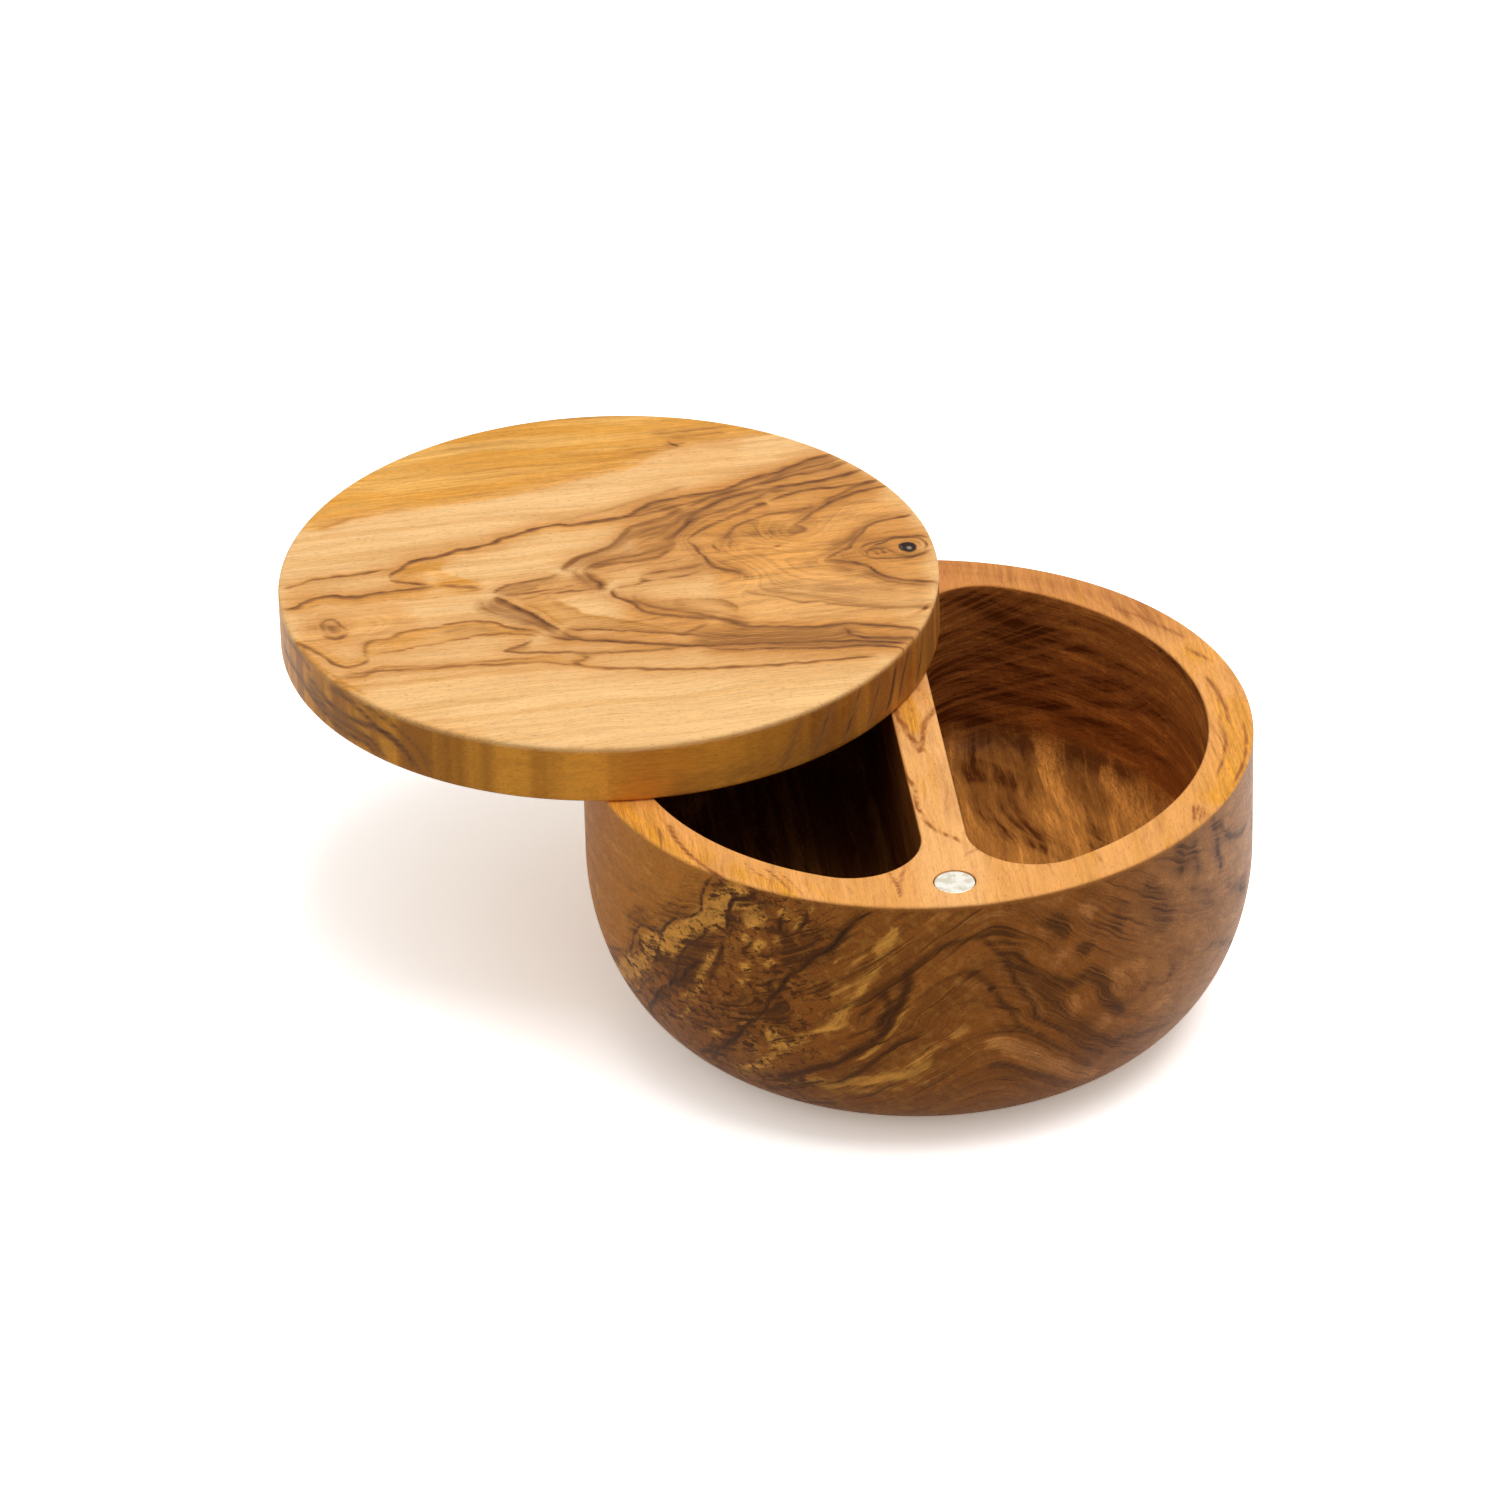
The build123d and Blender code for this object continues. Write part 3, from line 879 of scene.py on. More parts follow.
     "60 -21.6, 64 -22.2",
     dict(line=(.3, .8, .3), smoke=(.4, 3.6, .4), ring=19)),
    ("30 -8.2, 36 -9.4, 41 -12, 46 -13.4, 50 -16",
     dict(smoke=(.3, 3, 3), ring=21)),
    ("40 -9.4, 46 -11.2, 52 -13.2, 58 -14.4",
     dict(smoke=(.3, 1.6, 1.6), line=(.2, .5, .5), ring=22)),
    ("42 -15.5, 46 -16.6, 50 -19, 56 -20.4",
     dict(smoke=(.3, 1.2, 1.2))),
    ("17 -8.8, 22 -9.3, 26 -8.6",
     dict(line=(.2, .5, .5), amber=(.2, 1, 1), ring=17.5)),
    ("60.8 -21.4, 61.8 -22.4",
     dict(line=(.9, .8, .8))),
    # small eye at the left
    ("-58.6 -15, -58.8 -12.8, -58.6 -10.6, -57.5 -9.4, -55.9 -9.4, -55 -10.6, -54.4 -12.6, -53 "
     "-14.6",
     dict(line=(.5, .3, .8), ring=9)),
    ("-53 -14.8, -54.2 -16.2, -56 -17.1, -57.6 -16.6, -58.6 -15",
     dict(line=(.7, .4, .7), ring=9)),
    ("-57.2 -10.5, -56.8 -13, -56.2 -15.6",
     dict(smoke=(.6, 1.7, 1.7), line=(.2, 1, 1), ring=12)),
    ("-57.5 -8.2, -57 -5.5",
     dict(amber=(.3, 1.5, 1.5))),
    # lower left: V, amber band, its edges
    ("-64 -17, -62 -20, -60.2 -22.4, -58.6 -25, -57 -27.2, -55 -28.6, -52.4 -28.3, -50.6 "
     "-26.8, -50 -24.5",
     dict(line=(.5, .8, .4), amber=(.8, 2.8, .4), ring=2)),
    ("-50.9 -25.5, -51 -22, -50.3 -19.6, -48.5 -18.5, -46 -18.8, -43.5 -16.7, -39.5 -15.8, -35 "
     "-15, -30 -14, -25.5 -14.5, -23.5 -15.6, -22 -17.3, -19 -18.3, -15.5 -19",
     dict(line=(.5, .3, .8), amber=(.8, .3, 3.2), ring=4)),
    ("-50 -24.4, -47 -24, -43.5 -23.5, -40 -22.6, -36 -22, -31 -20.7, -27 -20, -23.5 -20, -20 "
     "-20.5, -17 -21.6, -16.4 -23.2",
     dict(line=(.4, .7, .3), amber=(.6, 2.6, .3), ring=0)),
    ("-47 -20.8, -42 -19.4, -38 -18.6",
     dict(amber=(.6, 2.2, 2.2))),
    ("-36 -18.4, -31 -16.4, -27 -17.2, -23 -18.8",
     dict(smoke=(.3, 1.4, 1.4), line=(.2, .5, .5), ring=2)),
    ("-34 -17.5, -32 -19.6, -29 -18.5",
     dict(line=(.1, .5, .5))),
    ("-17 -22.8, -19.5 -24.5, -22 -26, -23.2 -27, -20 -27.8, -15 -28.5, -10 -29.3, -5 -30.2, 3 "
     "-30.5, 12 -30.6",
     dict(line=(.5, .8, .4), ring=1)),
    ("-22.5 -26.8, -20 -26.4, -18 -25.6",
     dict(smoke=(.3, 1.2, 1.2), amber=(.5, 1.6, 1.6))),
    ("-9.5 -30, -7.2 -31, -8 -32.3, -9.5 -33.2, -8.5 -34.5, -4.5 -35.8, 0 -36.7, 5 -37.7, 12 "
     "-38.6, 20 -39.2, 30 -39.5, 40 -39.3, 50 -38.6",
     dict(line=(.5, .5, .7), amber=(.4, .5, 1.4), ring=-4)),
    ("-11 -31.5, -9.5 -33, -11 -34.5",
     dict(smoke=(.3, 1.2, 1.2), amber=(.4, 1.4, 1.4))),
    ("-56 -30, -53 -31, -50 -30.2, -48 -29.3, -44 -29.5, -39 -30, -30 -30, -22 -30, -12 -29.6",
     dict(line=(.3, .4, .7), amber=(.5, .4, 1.6), ring=-2)),
    ("-58 -31.5, -55 -32.6, -52 -32.5, -49.5 -31.2, -44 -31.2, -37 -31.5, -30 -31.3, -24.5 "
     "-32, -19 -31.8, -14.5 -32.5, -11.5 -33.6, -9.6 -35",
     dict(line=(.4, .8, .4), amber=(.3, 1.5, .5), ring=-4)),
    ("-58 -33, -55 -35, -50 -36, -40 -35.5, -28 -35.6, -15 -35.5",
     dict(amber=(.3, 1.6, 2.2), line=(.1, .6, .6), ring=-7)),
    ("-64.5 -15, -61 -25, -56 -34, -51 -40.5",
     dict(amber=(.6, .8, 2.2), line=(.2, .6, .6))),
    # back third: honey wood and its streaky edge
    ("-61 26.6, -57 26.9, -55 27.6, -53 29, -50 30.2, -46 31.4, -40 32, -33 33, -25 33.8, -18 "
     "35.2, -13 36.6, -8 38, -3 39.6, 3 41.4, 8 43.2, 11 45.6, 13 48, 17 50.2, 24 52, 34 53, "
     "42 51.4",
     dict(amber=(.6, 14, .7), ring=-14)),
    ("-58 27, -54 28.2, -50 30.4, -46 31.2, -43 31.1",
     dict(line=(.3, 1, .6), amber=(.5, 2, .7))),
    ("-44.5 32.1, -40 32.4, -36 32.2",
     dict(line=(.2, .8, .5))),
    ("-14 38.6, -9 39.8, -2 41.6, 3 43.4, 8 44.6",
     dict(line=(.2, 1, .5), amber=(.5, 2.5, .8), ring=-17)),
    ("5 47.6, 10 48.8, 16 49.9",
     dict(line=(.3, .8, .6), amber=(.4, 2, .8), ring=-22)),
    ("-30 46, -22 47, -16 47.4",
     dict(line=(.1, .7, .5), ring=-27)),
    ("-40 49.4, -34 50.2, -28 50",
     dict(line=(.1, .8, .6), ring=-33)),
    ("-20 42, -12 43.4, -4 45.6, 4 48.6",
     dict(line=(.1, .8, .6), ring=-20)),
    ("13 56.4, 22 56.8, 31 57.8",
     dict(line=(.3, .6, .6), ring=-31)),
    ("17 54.4, 24 54.8, 31 55.2",
     dict(line=(.3, .6, .6), ring=-28)),
    ("20 52.4, 28 52, 38 52.4",
     dict(line=(.2, .7, .6), ring=-25)),
    ("6 51.6, 13 53.4",
     dict(line=(.2, .7, .6), ring=-26)),
    # pale mid band lines
    ("-66 14, -55 14.8, -45 15.4, -34 17.2, -25 20",
     dict(line=(.1, .5, .4), ring=-6)),
    ("-62 22, -50 21, -38 22.4, -24 26.4, -10 29, 6 34.5, 20 38.5, 34 41.5",
     dict(ring=-9)),
    ("6 35.6, 14 37.8, 24 39.6, 33 41.4",
     dict(line=(.1, .5, .4), ring=-8)),
    # front third
    ("-48 -40, -30 -39.4, -10 -39, 10 -42, 30 -42.4, 48 -42",
     dict(line=(.1, .8, .8), ring=-9)),
    ("-40 -47, -10 -46, 20 -47, 45 -46",
     dict(ring=-14)),
    ("-30 -56, 0 -55.4, 30 -55.6",
     dict(line=(.1, .8, .8), ring=-24)),
    ("-15 -64, 0 -63, 15 -64",
     dict(ring=-34)),
    ("-30 57, -10 58.5, 10 60, 25 60",
     dict(ring=-38)),
    ("-12 65.5, 0 66, 12 65",
     dict(ring=-46)),
]

# heartwood: how far the wood is from sapwood cream to heartwood orange, as broad soft strokes
lid_heart_strokes = [
    ("20 3, 35 3, 50 2, 64 2", dict(heart=(.95, 22, 22))),
    ("5 12, 20 16, 38 20, 58 26", dict(heart=(.7, 9, 12))),
    ("0 -16, 14 -22, 30 -26, 56 -30", dict(heart=(.7, 8, 5))),
    ("-64 -12, -58 -14, -50 -12, -40 -8", dict(heart=(.55, 8, 9))),
    ("-66 -30, -58 -42, -46 -54, -30 -62", dict(heart=(.5, 6, 8))),
    ("-66 2, -60 -2", dict(heart=(.3, 6, 6))),
    ("-30 56, 0 60, 34 54", dict(heart=(.4, 12, 14))),
]
lid_side_strokes = [
    # x is the azimuth round the lid, times its edge's millimetres in a degree, and y is minus
    # the depth below the top
    ("-186 -4, -174 -6.5, -166 -6, -160 -5.5, -155.5 -7, -153 -9, -152 -12",
     dict(line=(.75, .5, .5), smoke=(.5, 1.2, 1.2))),
    ("-203 -7, -191 -7, -180 -9, -171.5 -10.5, -165 -10, -161 -12",
     dict(line=(.7, .5, .5), smoke=(.5, 1.4, 1.0))),
    ("-177.5 -3, -171.5 -2, -166 -3, -161 -5, -156.5 -6, -152 -9, -150 -12",
     dict(line=(.7, .4, .5), smoke=(.4, .8, 1.0))),
    ("-200 -2, -190 -1.6, -182 -2.6", dict(line=(.5, .4, .4), smoke=(.4, 1.0, 1.0))),
    ("-186 -6, -176 -8.4, -168 -8.4, -162.5 -9, -158.5 -12",
     dict(line=(.6, .6, .5), smoke=(.7, 1.0, 1.6))),
    ("-176 -1.4, -168 -.8, -160 -2.2, -154 -4, -149.6 -7.5, -148 -12",
     dict(line=(.5, .4, .4), smoke=(.7, 1.6, .8))),
    ("-70 0, -73 -7, -76 -12", dict(line=(.4, .5, .5), smoke=(.7, 1.6, 1.6))),
    ("-62 0, -65 -6, -68 -12", dict(line=(.6, .6, .6), smoke=(.9, 1.8, 2.2))),
    ("-54 0, -57 -6, -60 -12", dict(line=(.7, .6, .6), smoke=(.9, 2.0, 1.4))),
    ("-47.5 0, -50.5 -7, -53 -12", dict(line=(.75, .7, .6), smoke=(.95, 2.2, 1.6))),
    ("-41.7 0, -44.6 -8, -47.5 -12", dict(line=(.9, .8, .7), smoke=(.95, 1.6, 2.2))),
    ("-36 0, -39.6 -6, -42 -12", dict(line=(.8, .6, .6), smoke=(.9, 1.7, 1.4))),
    ("-29 0, -31 -7, -34 -12", dict(line=(.8, .8, .6), smoke=(.95, 2.4, 1.8))),
    ("-21 0, -23 -7, -25 -12", dict(line=(.7, .6, .6), smoke=(.9, 2.0, 2.4))),
    ("-11 0, -13 -6, -14 -12", dict(line=(.6, .5, .5), smoke=(.7, 1.5, 1.5))),
    ("-100 -11, -86 -9, -72 -10, -60 -7", dict(smoke=(.3, 2.0, 3.0))),
    ("8 -2, 20 -5, 30 -4, 44 -7, 60 -6", dict(line=(.5, .5, .5), smoke=(.4, 1.4, 1.4))),
    ("10 -8, 24 -9, 40 -11", dict(line=(.4, .5, .5), smoke=(.35, 1.4, 1.4))),
    ("70 -3, 90 -4, 108 -3.4", dict(line=(.2, .6, .6))),
    ("120 -9, 140 -8, 158 -9.4, 176 -8", dict(line=(.25, .6, .6), smoke=(.3, 1.4, 1.4))),
]

# %% Paint the lid
spot = points_mm(lid)
centre_mm = np.array(lid_centre) / mm
plan = spot[:, :2] - centre_mm[:2]
depth = lid_high.z / mm - spot[:, 2]
reach = np.hypot(plan[:, 0], plan[:, 1])
azimuth = np.degrees(np.arctan2(plan[:, 1], plan[:, 0]))
edge_per_degree = 1.16
unrolled = np.stack([azimuth * edge_per_degree, -depth], 1)
on_top = 1 - soft_step(depth, 0.4, 2.6)
on_side = soft_step(depth, 0.3, 1.6) * soft_step(reach, 62, 65)
drawn_at = wander(wander(plan, 5.5, 0.16, 1), 2.4, 0.06, 2)
coats = paint(drawn_at, lid_strokes)
side_coats = paint(unrolled, lid_side_strokes)
for name in coats:
    coats[name] = 1 - (1 - coats[name] * on_top) * (1 - side_coats[name] * on_side)
    store(lid, name, coats[name])
# the back third is honey-coloured, up to a slanting edge
honey_edge_x = [-67, -61, -46, -25, -8, 3, 11, 17, 34, 50]
honey_edge_y = [26, 26.6, 31.4, 33.8, 38, 41.4, 45.6, 50.2, 53, 50]
past_edge = drawn_at[:, 1] - np.interp(drawn_at[:, 0], honey_edge_x, honey_edge_y)
store(lid, "honey", soft_step(past_edge, -1, 4) * on_top)


def oval(x, y, x_size, y_size):
    """1 inside this oval on the lid's top, fading to 0 at its edge."""
    away = np.hypot((drawn_at[:, 0] - x) / x_size, (drawn_at[:, 1] - y) / y_size)
    return 1 - soft_step(away, 0.7, 1.1)


# the knot near the right edge: above 0 a nearly black core, and above 1 a painted highlight, a
# pale glint on the core
knot = oval(61.1, 2.8, 2.0, 2.2)
painted_glint = np.maximum(oval(61.2, 2.3, 0.35, 1.0), 0.5 * oval(59.6, 2.6, 0.4, 1.3))
store(lid, "knot", (knot + painted_glint) * on_top)
heart = paint(drawn_at, lid_heart_strokes, paints=("heart",))["heart"]
# every line on the lid has a golden brown halo a few millimetres wide
lid_halos = [(text, dict(halo=(look["line"][0], 3.6, 3.6))) for text, look in lid_strokes
             if "line" in look]
halo = paint(drawn_at, lid_halos, paints=("halo",))["halo"]
store(lid, "halo", halo * on_top)
store(lid, "heart", heart * (0.35 + 0.65 * on_top))
store(lid, "ring", ring_field(drawn_at, lid_strokes, 30.0) + 0.9 * depth)
store(lid, "side", on_side)

# %% [markdown]
# ## The figure on the bowl's outside
# The bowl's block comes from nearer the root. On its left it is plain orange-brown wood. A band
# of gold, edged by black cracks, runs down across it, and beyond that the wood is dark and
# mottled, with flows that arch over the front like a curtain. The outside is unrolled for the
# strokes: x is the angle round the bowl in degrees, which is multiplied to millimetres, and y is
# minus the length down the wall from the rim. The back has not been seen. It gets the same flows
# turned over, as a board's two faces are alike, and moved about so that they don't repeat.

# %% Strokes on the bowl's outside
bowl_side_strokes = [
    # the gold band between the plain wood and the mottled wood
    ("-127 0, -129 -3, -132.5 -6.5, -134 -9.5, -136.5 -13, -139.5 -16, -142.5 -19.5, -146 -22, "
     "-149.5 -24.5, -152 -28, -155 -32.5, -159 -36.5, -163.5 -40.5, -170 -46",
     dict(amber=(.95, 2.6, 2.4))),
    ("-133.5 0, -136 -6, -136.2 -9.5, -138 -12, -142 -14.5, -144.5 -17.5, -146.5 -20, -151 -21, "
     "-153.5 -24, -155 -27, -158 -31, -163 -34.5, -170 -38",
     dict(line=(.5, .3, .45), smoke=(.3, .3, 2.4))),
    ("-130 -9.4, -133.5 -8.4, -136 -9", dict(line=(.4, .4, .4))),
    ("-146.4 -20, -146.8 -24, -148.6 -26.8, -151.6 -29", dict(line=(.5, .4, .4))),
    ("-147.5 -30, -151 -33.4, -154 -37.6, -158 -42, -163 -46", dict(line=(.45, .5, .4))),
    # black cracks
    ("-124 -.5, -126.5 -2.6, -129.5 -4.7, -130.4 -7, -130.8 -9.5, -131.2 -13",
     dict(line=(.85, .45, .4), smoke=(.5, 1.8, .4))),
    ("-134.2 -12, -136.2 -15.5, -138.8 -18.5, -140.8 -21.5, -142.2 -25, -143.4 -27.5, "
     "-145.4 -29.8", dict(line=(.7, .45, .35))),
    ("-136.5 -20.5, -139.5 -24.8, -143.5 -28.6, -145.6 -31.8, -148.6 -35.6, -151.2 -39.2, "
     "-154.3 -43.6, -157 -48", dict(line=(.85, .45, .4), smoke=(.45, 2.6, .4))),
    ("-104.5 -1, -107.5 -3.5, -109.5 -7.2, -112 -10.5, -115 -13.4, -117.2 -16.6, -119.6 -19.5, "
     "-121 -22, -122.6 -24.5, -124.6 -27.6, -126.6 -31, -128.6 -34.6, -130.8 -37.8, "
     "-133.6 -41.4, -137 -46, -140 -50", dict(line=(.8, .4, .4), smoke=(.5, 1.2, 1.6))),
    ("-125 -28, -127.6 -31.8, -130 -36", dict(amber=(.55, .5, .5))),
    ("-121 -19.5, -123.5 -22, -122.5 -24", dict(line=(.7, .5, .5))),
    # dark, crinkled wood right of the band, with gold specks in it
    ("-133 -13, -135.5 -17, -138.5 -21, -141 -25, -143.6 -28", dict(smoke=(.9, 1.8, 1.7))),
    ("-133 -16, -135 -21, -136.8 -24, -137.6 -27.5, -139.5 -29.5, -142 -33",
     dict(amber=(.62, 1.0, 1.2))),
    ("-131.5 -14, -133 -20, -135.5 -26", dict(line=(.5, .6, .6), smoke=(.4, .9, .9))),
    ("-122.8 -5.8, -125 -7, -127.5 -9.3", dict(amber=(.98, 1.6, 1.5))),
    ("-126.5 -11, -128 -13.6", dict(amber=(.7, 1.0, .9))),
    ("-124 -11.6, -125.6 -15.8", dict(amber=(.7, 1.1, 1.0))),
    ("-122.2 -14.4, -123.4 -18.6", dict(amber=(.6, .9, .8))),
    ("-128.8 -18.8, -125.8 -19.8", dict(amber=(.7, .9, .9))),
    ("-126.6 -21.3, -129 -24.6", dict(amber=(.65, .8, .7))),
    ("-131 -17.5, -131.6 -20", dict(amber=(.4, .7, .7))),
    ("-127.6 -25.6, -128.6 -27.8", dict(amber=(.45, .8, .8))),
    ("-120.6 -8.4, -121.8 -13", dict(amber=(.45, .8, .8))),
    ("-116.6 -4.6, -118.6 -8.8", dict(amber=(.5, .6, .6))),
    ("-119.2 -1.6, -121 -6", dict(amber=(.5, .7, .6))),
    ("-114.6 -.6, -115.4 -3.6", dict(amber=(.4, .5, .5))),
    ("-122.2 -5, -121 -8, -122.8 -10, -121 -12.4, -122.9 -15, -121.8 -17.4, -123 -20",
     dict(line=(.35, .35, .35))),
    ("-127.8 -11.4, -126.2 -13.4, -127.9 -15.4, -126.4 -17.6", dict(line=(.6, .5, .5))),
    ("-119 -3, -120.8 -6.4, -119.6 -9.6, -117.8 -8.4, -116 -4.6, -115 -1",
     dict(line=(.6, .4, .4))),
    ("-124.6 -1.2, -123 -4, -119.6 -12, -121 -18", dict(smoke=(.45, 1.4, 1.4))),
    ("-113 -4, -116 -10, -120 -16", dict(smoke=(.5, 2.4, 2.4))),
    ("-120.6 -33.2, -122.5 -34.2, -124.4 -33.8", dict(amber=(.98, 1.9, 1.7))),
    ("-134.3 -37, -135.2 -39.2", dict(amber=(.65, 1.3, 1.2))),
    ("-118 -29.7, -119.2 -30.1", dict(amber=(.5, .8, .8))),
    ("-119 -24, -122 -27, -124.6 -30", dict(smoke=(.8, 3.0, 2.6))),
    ("-116 -20.8, -112.6 -21, -112.6 -24", dict(smoke=(.45, 1.2, 1.2))),
    ("-111.2 -13.4, -110.6 -13.9", dict(amber=(.6, .8, .8))),
    ("-138 -31, -141.4 -35.8, -146 -41", dict(amber=(.3, 1.2, 1.2))),
    ("-134 -41, -139 -46, -143 -50", dict(line=(.6, .7, .7), smoke=(.4, 1, 1))),
    # diagonal flows down to the left
    ("-135 -52, -128 -45, -121.5 -37.5, -116 -31, -110.5 -26, -106.5 -19, -103 -11, -100.5 -4",
     dict(amber=(.42, 1.7, 1.6))),
    ("-104.9 -10.8, -102.4 -8, -100.5 -4.4", dict(amber=(.75, .9, .7))),
    ("-113 -22, -108.6 -15, -105.6 -9", dict(amber=(.3, 1.3, 1.3))),
    ("-126 -50, -118 -42.5, -112 -38.5, -108 -34.5, -104.5 -30, -101.5 -24.5, -99.5 -20, "
     "-98.5 -14", dict(line=(.5, .9, 1.0), smoke=(.55, 1.5, 1.3))),
    ("-103.6 -19, -102 -23, -105 -27.6", dict(line=(.5, .6, .6), smoke=(.4, 1.2, 1.2))),
    ("-109 -38.4, -104.8 -33, -101.4 -27, -98 -21", dict(amber=(.42, .9, .8))),
    ("-128 -50.5, -118 -46.5, -110 -44, -103 -41.5, -98 -39, -94.5 -35.5",
     dict(amber=(.5, 2.0, 1.5))),
    ("-112 -48, -104 -45.5, -99 -43.6", dict(amber=(.35, 1.2, 1.2))),
    ("-100 -35, -95.5 -32.8, -93.6 -29", dict(amber=(.3, 1.4, 1.4))),
    ("-106 -3, -110 -9, -116 -16.5", dict(amber=(.2, 1.2, 1.2))),
    ("-96 -27, -99.6 -30, -103.6 -35, -109 -41.5, -115 -45.4, -124 -48.6",
     dict(line=(.4, .8, .8), smoke=(.4, 1.4, 1.2))),
    # flows that arch over the front, and the gold V under them
    ("-86.5 -33.8, -83.8 -32.8, -80.5 -35, -76 -38.8, -71.5 -43.3, -66.5 -48.3, -61 -53",
     dict(amber=(.85, 1.6, 1.9))),
    ("-86.5 -33.8, -90 -37.4, -94.5 -41.4, -101 -46", dict(amber=(.32, 1.2, 1.0))),
    ("-92.6 -30, -90.4 -28, -88.3 -26.6", dict(amber=(.75, 1.1, 1.0))),
    ("-86 -36, -79.5 -41, -73.5 -46.4, -66 -53", dict(line=(.3, .8, .8), smoke=(.45, .8, 2.6))),
    ("-108 -27, -100 -16.4, -95.6 -11.4, -91 -8.6, -86.5 -8.2, -83 -12.4, -80.6 -19, "
     "-76.4 -27, -70 -36, -62 -45", dict(line=(.4, .8, .8), smoke=(.35, 1.2, 1.2))),
    ("-97.6 -22, -93.6 -17.4, -88.8 -15.4, -85 -19, -82.6 -24, -77 -32, -70 -40.6, -63 -48",
     dict(line=(.35, .8, .8), smoke=(.35, 1.0, 1.4))),
    ("-95.4 -26, -91.4 -23, -87.4 -22, -84 -26, -79.4 -32", dict(line=(.25, .8, .8))),
    ("-84.6 -4, -81.5 -10, -78 -18.5, -73.4 -26, -68 -34, -60 -42.6",
     dict(smoke=(.62, 2.0, 2.0))),
    ("-84.6 -10, -82 -15.6, -79.4 -20.4, -75 -28", dict(amber=(.38, 1.1, 1.1))),
    ("-93 -18, -89 -17.6, -86.6 -20", dict(amber=(.3, 2.2, 2.2))),
    ("-100 -5, -94 -3, -88 -3.4, -80 -2.6, -70 -2.4", dict(amber=(.3, 1.4, 1.4))),
    ("-85.6 -19.4, -84.6 -20.4", dict(line=(.8, .9, .9))),
    # blotches to the right of the middle
    ("-74.6 -4.4, -72.4 -9.6, -71.6 -12.6", dict(smoke=(.9, 2.2, 2.2), line=(.25, 1.8, 1.8))),
    ("-69.6 -13, -67.3 -17", dict(smoke=(.8, 2.0, 2.0))),
    ("-76 -19, -71 -22, -66 -20", dict(smoke=(.75, 1.9, 1.9))),
    ("-67.4 -19, -64.6 -25, -61.6 -31, -59.4 -34", dict(smoke=(.85, 1.9, 2.0))),
    ("-48.4 0, -46.6 -5, -47.4 -9.6", dict(smoke=(.7, 2.4, 2.4))),
    ("-43.6 0, -43 -6, -41 -12", dict(smoke=(.5, 1.6, 1.6))),
    ("-37.6 0, -36.2 -5, -35.2 -10, -33.6 -16.5", dict(smoke=(.75, 1.2, 1.2))),
    ("-56 -4, -52.6 -12, -49.4 -19", dict(smoke=(.6, 2.6, 2.6))),
    ("-44 -10, -41 -17, -35 -22", dict(smoke=(.5, 2.6, 2.2))),
    ("-62 -8, -60.4 -14", dict(smoke=(.5, 2.0, 2.0))),
    ("-50.6 -28, -47.6 -28.4", dict(smoke=(.6, 1.8, 1.8))),
    ("-56.6 -27.4, -54.6 -29", dict(smoke=(.5, 1.6, 1.6))),
    ("-69.4 -4, -67.2 -7.6, -66 -9.4", dict(amber=(.47, 3.5, 3.2))),
    ("-73.6 -13.6, -72 -17.2", dict(amber=(.5, 1.8, 1.6))),
    ("-71.4 -25, -69.2 -29", dict(amber=(.5, 2.6, 2.5))),
    ("-61.8 -20.8, -61 -28", dict(amber=(.54, 2.4, 2.5))),
    ("-66.4 -33.2, -62.2 -35.2", dict(amber=(.58, 2.0, 2.0))),
    ("-54 -37.4, -46 -36", dict(amber=(.4, 3.0, 3.0))),
    ("-38.4 -12.8, -37.4 -15.8", dict(amber=(.54, 1.9, 1.8))),
    ("-45.4 -22.6, -43.2 -26", dict(amber=(.36, 2.0, 2.0))),
    ("-53.6 -18.4, -52 -21", dict(amber=(.43, 1.4, 1.4))),
    ("-47.2 -12.6, -46.4 -15.4", dict(amber=(.36, 1.1, 1.1))),
    ("-46 -26.4, -45.2 -30.6", dict(amber=(.36, 1.2, 1.2))),
    ("-58.4 -22, -55.6 -24.4", dict(amber=(.22, 2.2, 2.2))),
    ("-76.4 -7, -75.4 -10.4", dict(amber=(.32, .88, .88))),
    # flows falling to the right
    ("-32.4 -3, -30.6 -8", dict(amber=(.4, 1.6, 1.4))),
    ("-36 -3, -30 -10, -25 -12.6, -19 -14", dict(line=(.35, .7, .7), smoke=(.5, 1.2, 1.2))),
    ("-34 -12, -28 -17.6, -22 -24", dict(amber=(.35, 1.1, 1.1))),
    ("-33 -19, -26 -24, -19 -27.6", dict(smoke=(.55, 1.3, 1.3))),
    ("-31.6 -28.4, -28 -30.4, -25.6 -28.6", dict(amber=(.45, 1.7, 1.7))),
    ("-40 -27, -34 -32, -27 -37, -20 -42", dict(line=(.3, .9, .9), smoke=(.45, 1.5, 1.5))),
    ("-14 -2, -8 -9, -1 -14, 5 -16", dict(amber=(.4, 1.8, 1.8), line=(.3, .7, .7))),
    ("-16 -16, -8 -22, 3 -27", dict(smoke=(.6, 2.4, 2.4))),
    ("-12 -30, -4 -36, 5 -40", dict(amber=(.4, 2, 2))),
    ("-62 -40, -54 -43, -44 -46", dict(line=(.3, 1, 1), smoke=(.35, 1.6, 1.6))),
    # quiet streaks in the plain wood
    ("-182 -12, -170 -9, -158 -8.6, -146 -6", dict(amber=(.25, 2.2, 2.2))),
    ("-184 -20, -170 -16.6, -156 -14.6, -148 -12", dict(smoke=(.25, 1.4, 1.4))),
    ("-186 -30, -172 -25, -160 -22", dict(amber=(.2, 2.4, 2.4))),
    ("-186 -38, -176 -34, -166 -31", dict(smoke=(.25, 1.6, 1.6))),
    ("-138 -1, -139 -6, -141 -10.6, -147 -15.6, -153 -19, -158 -25", dict(smoke=(.3, 2.6, 2.6))),
]

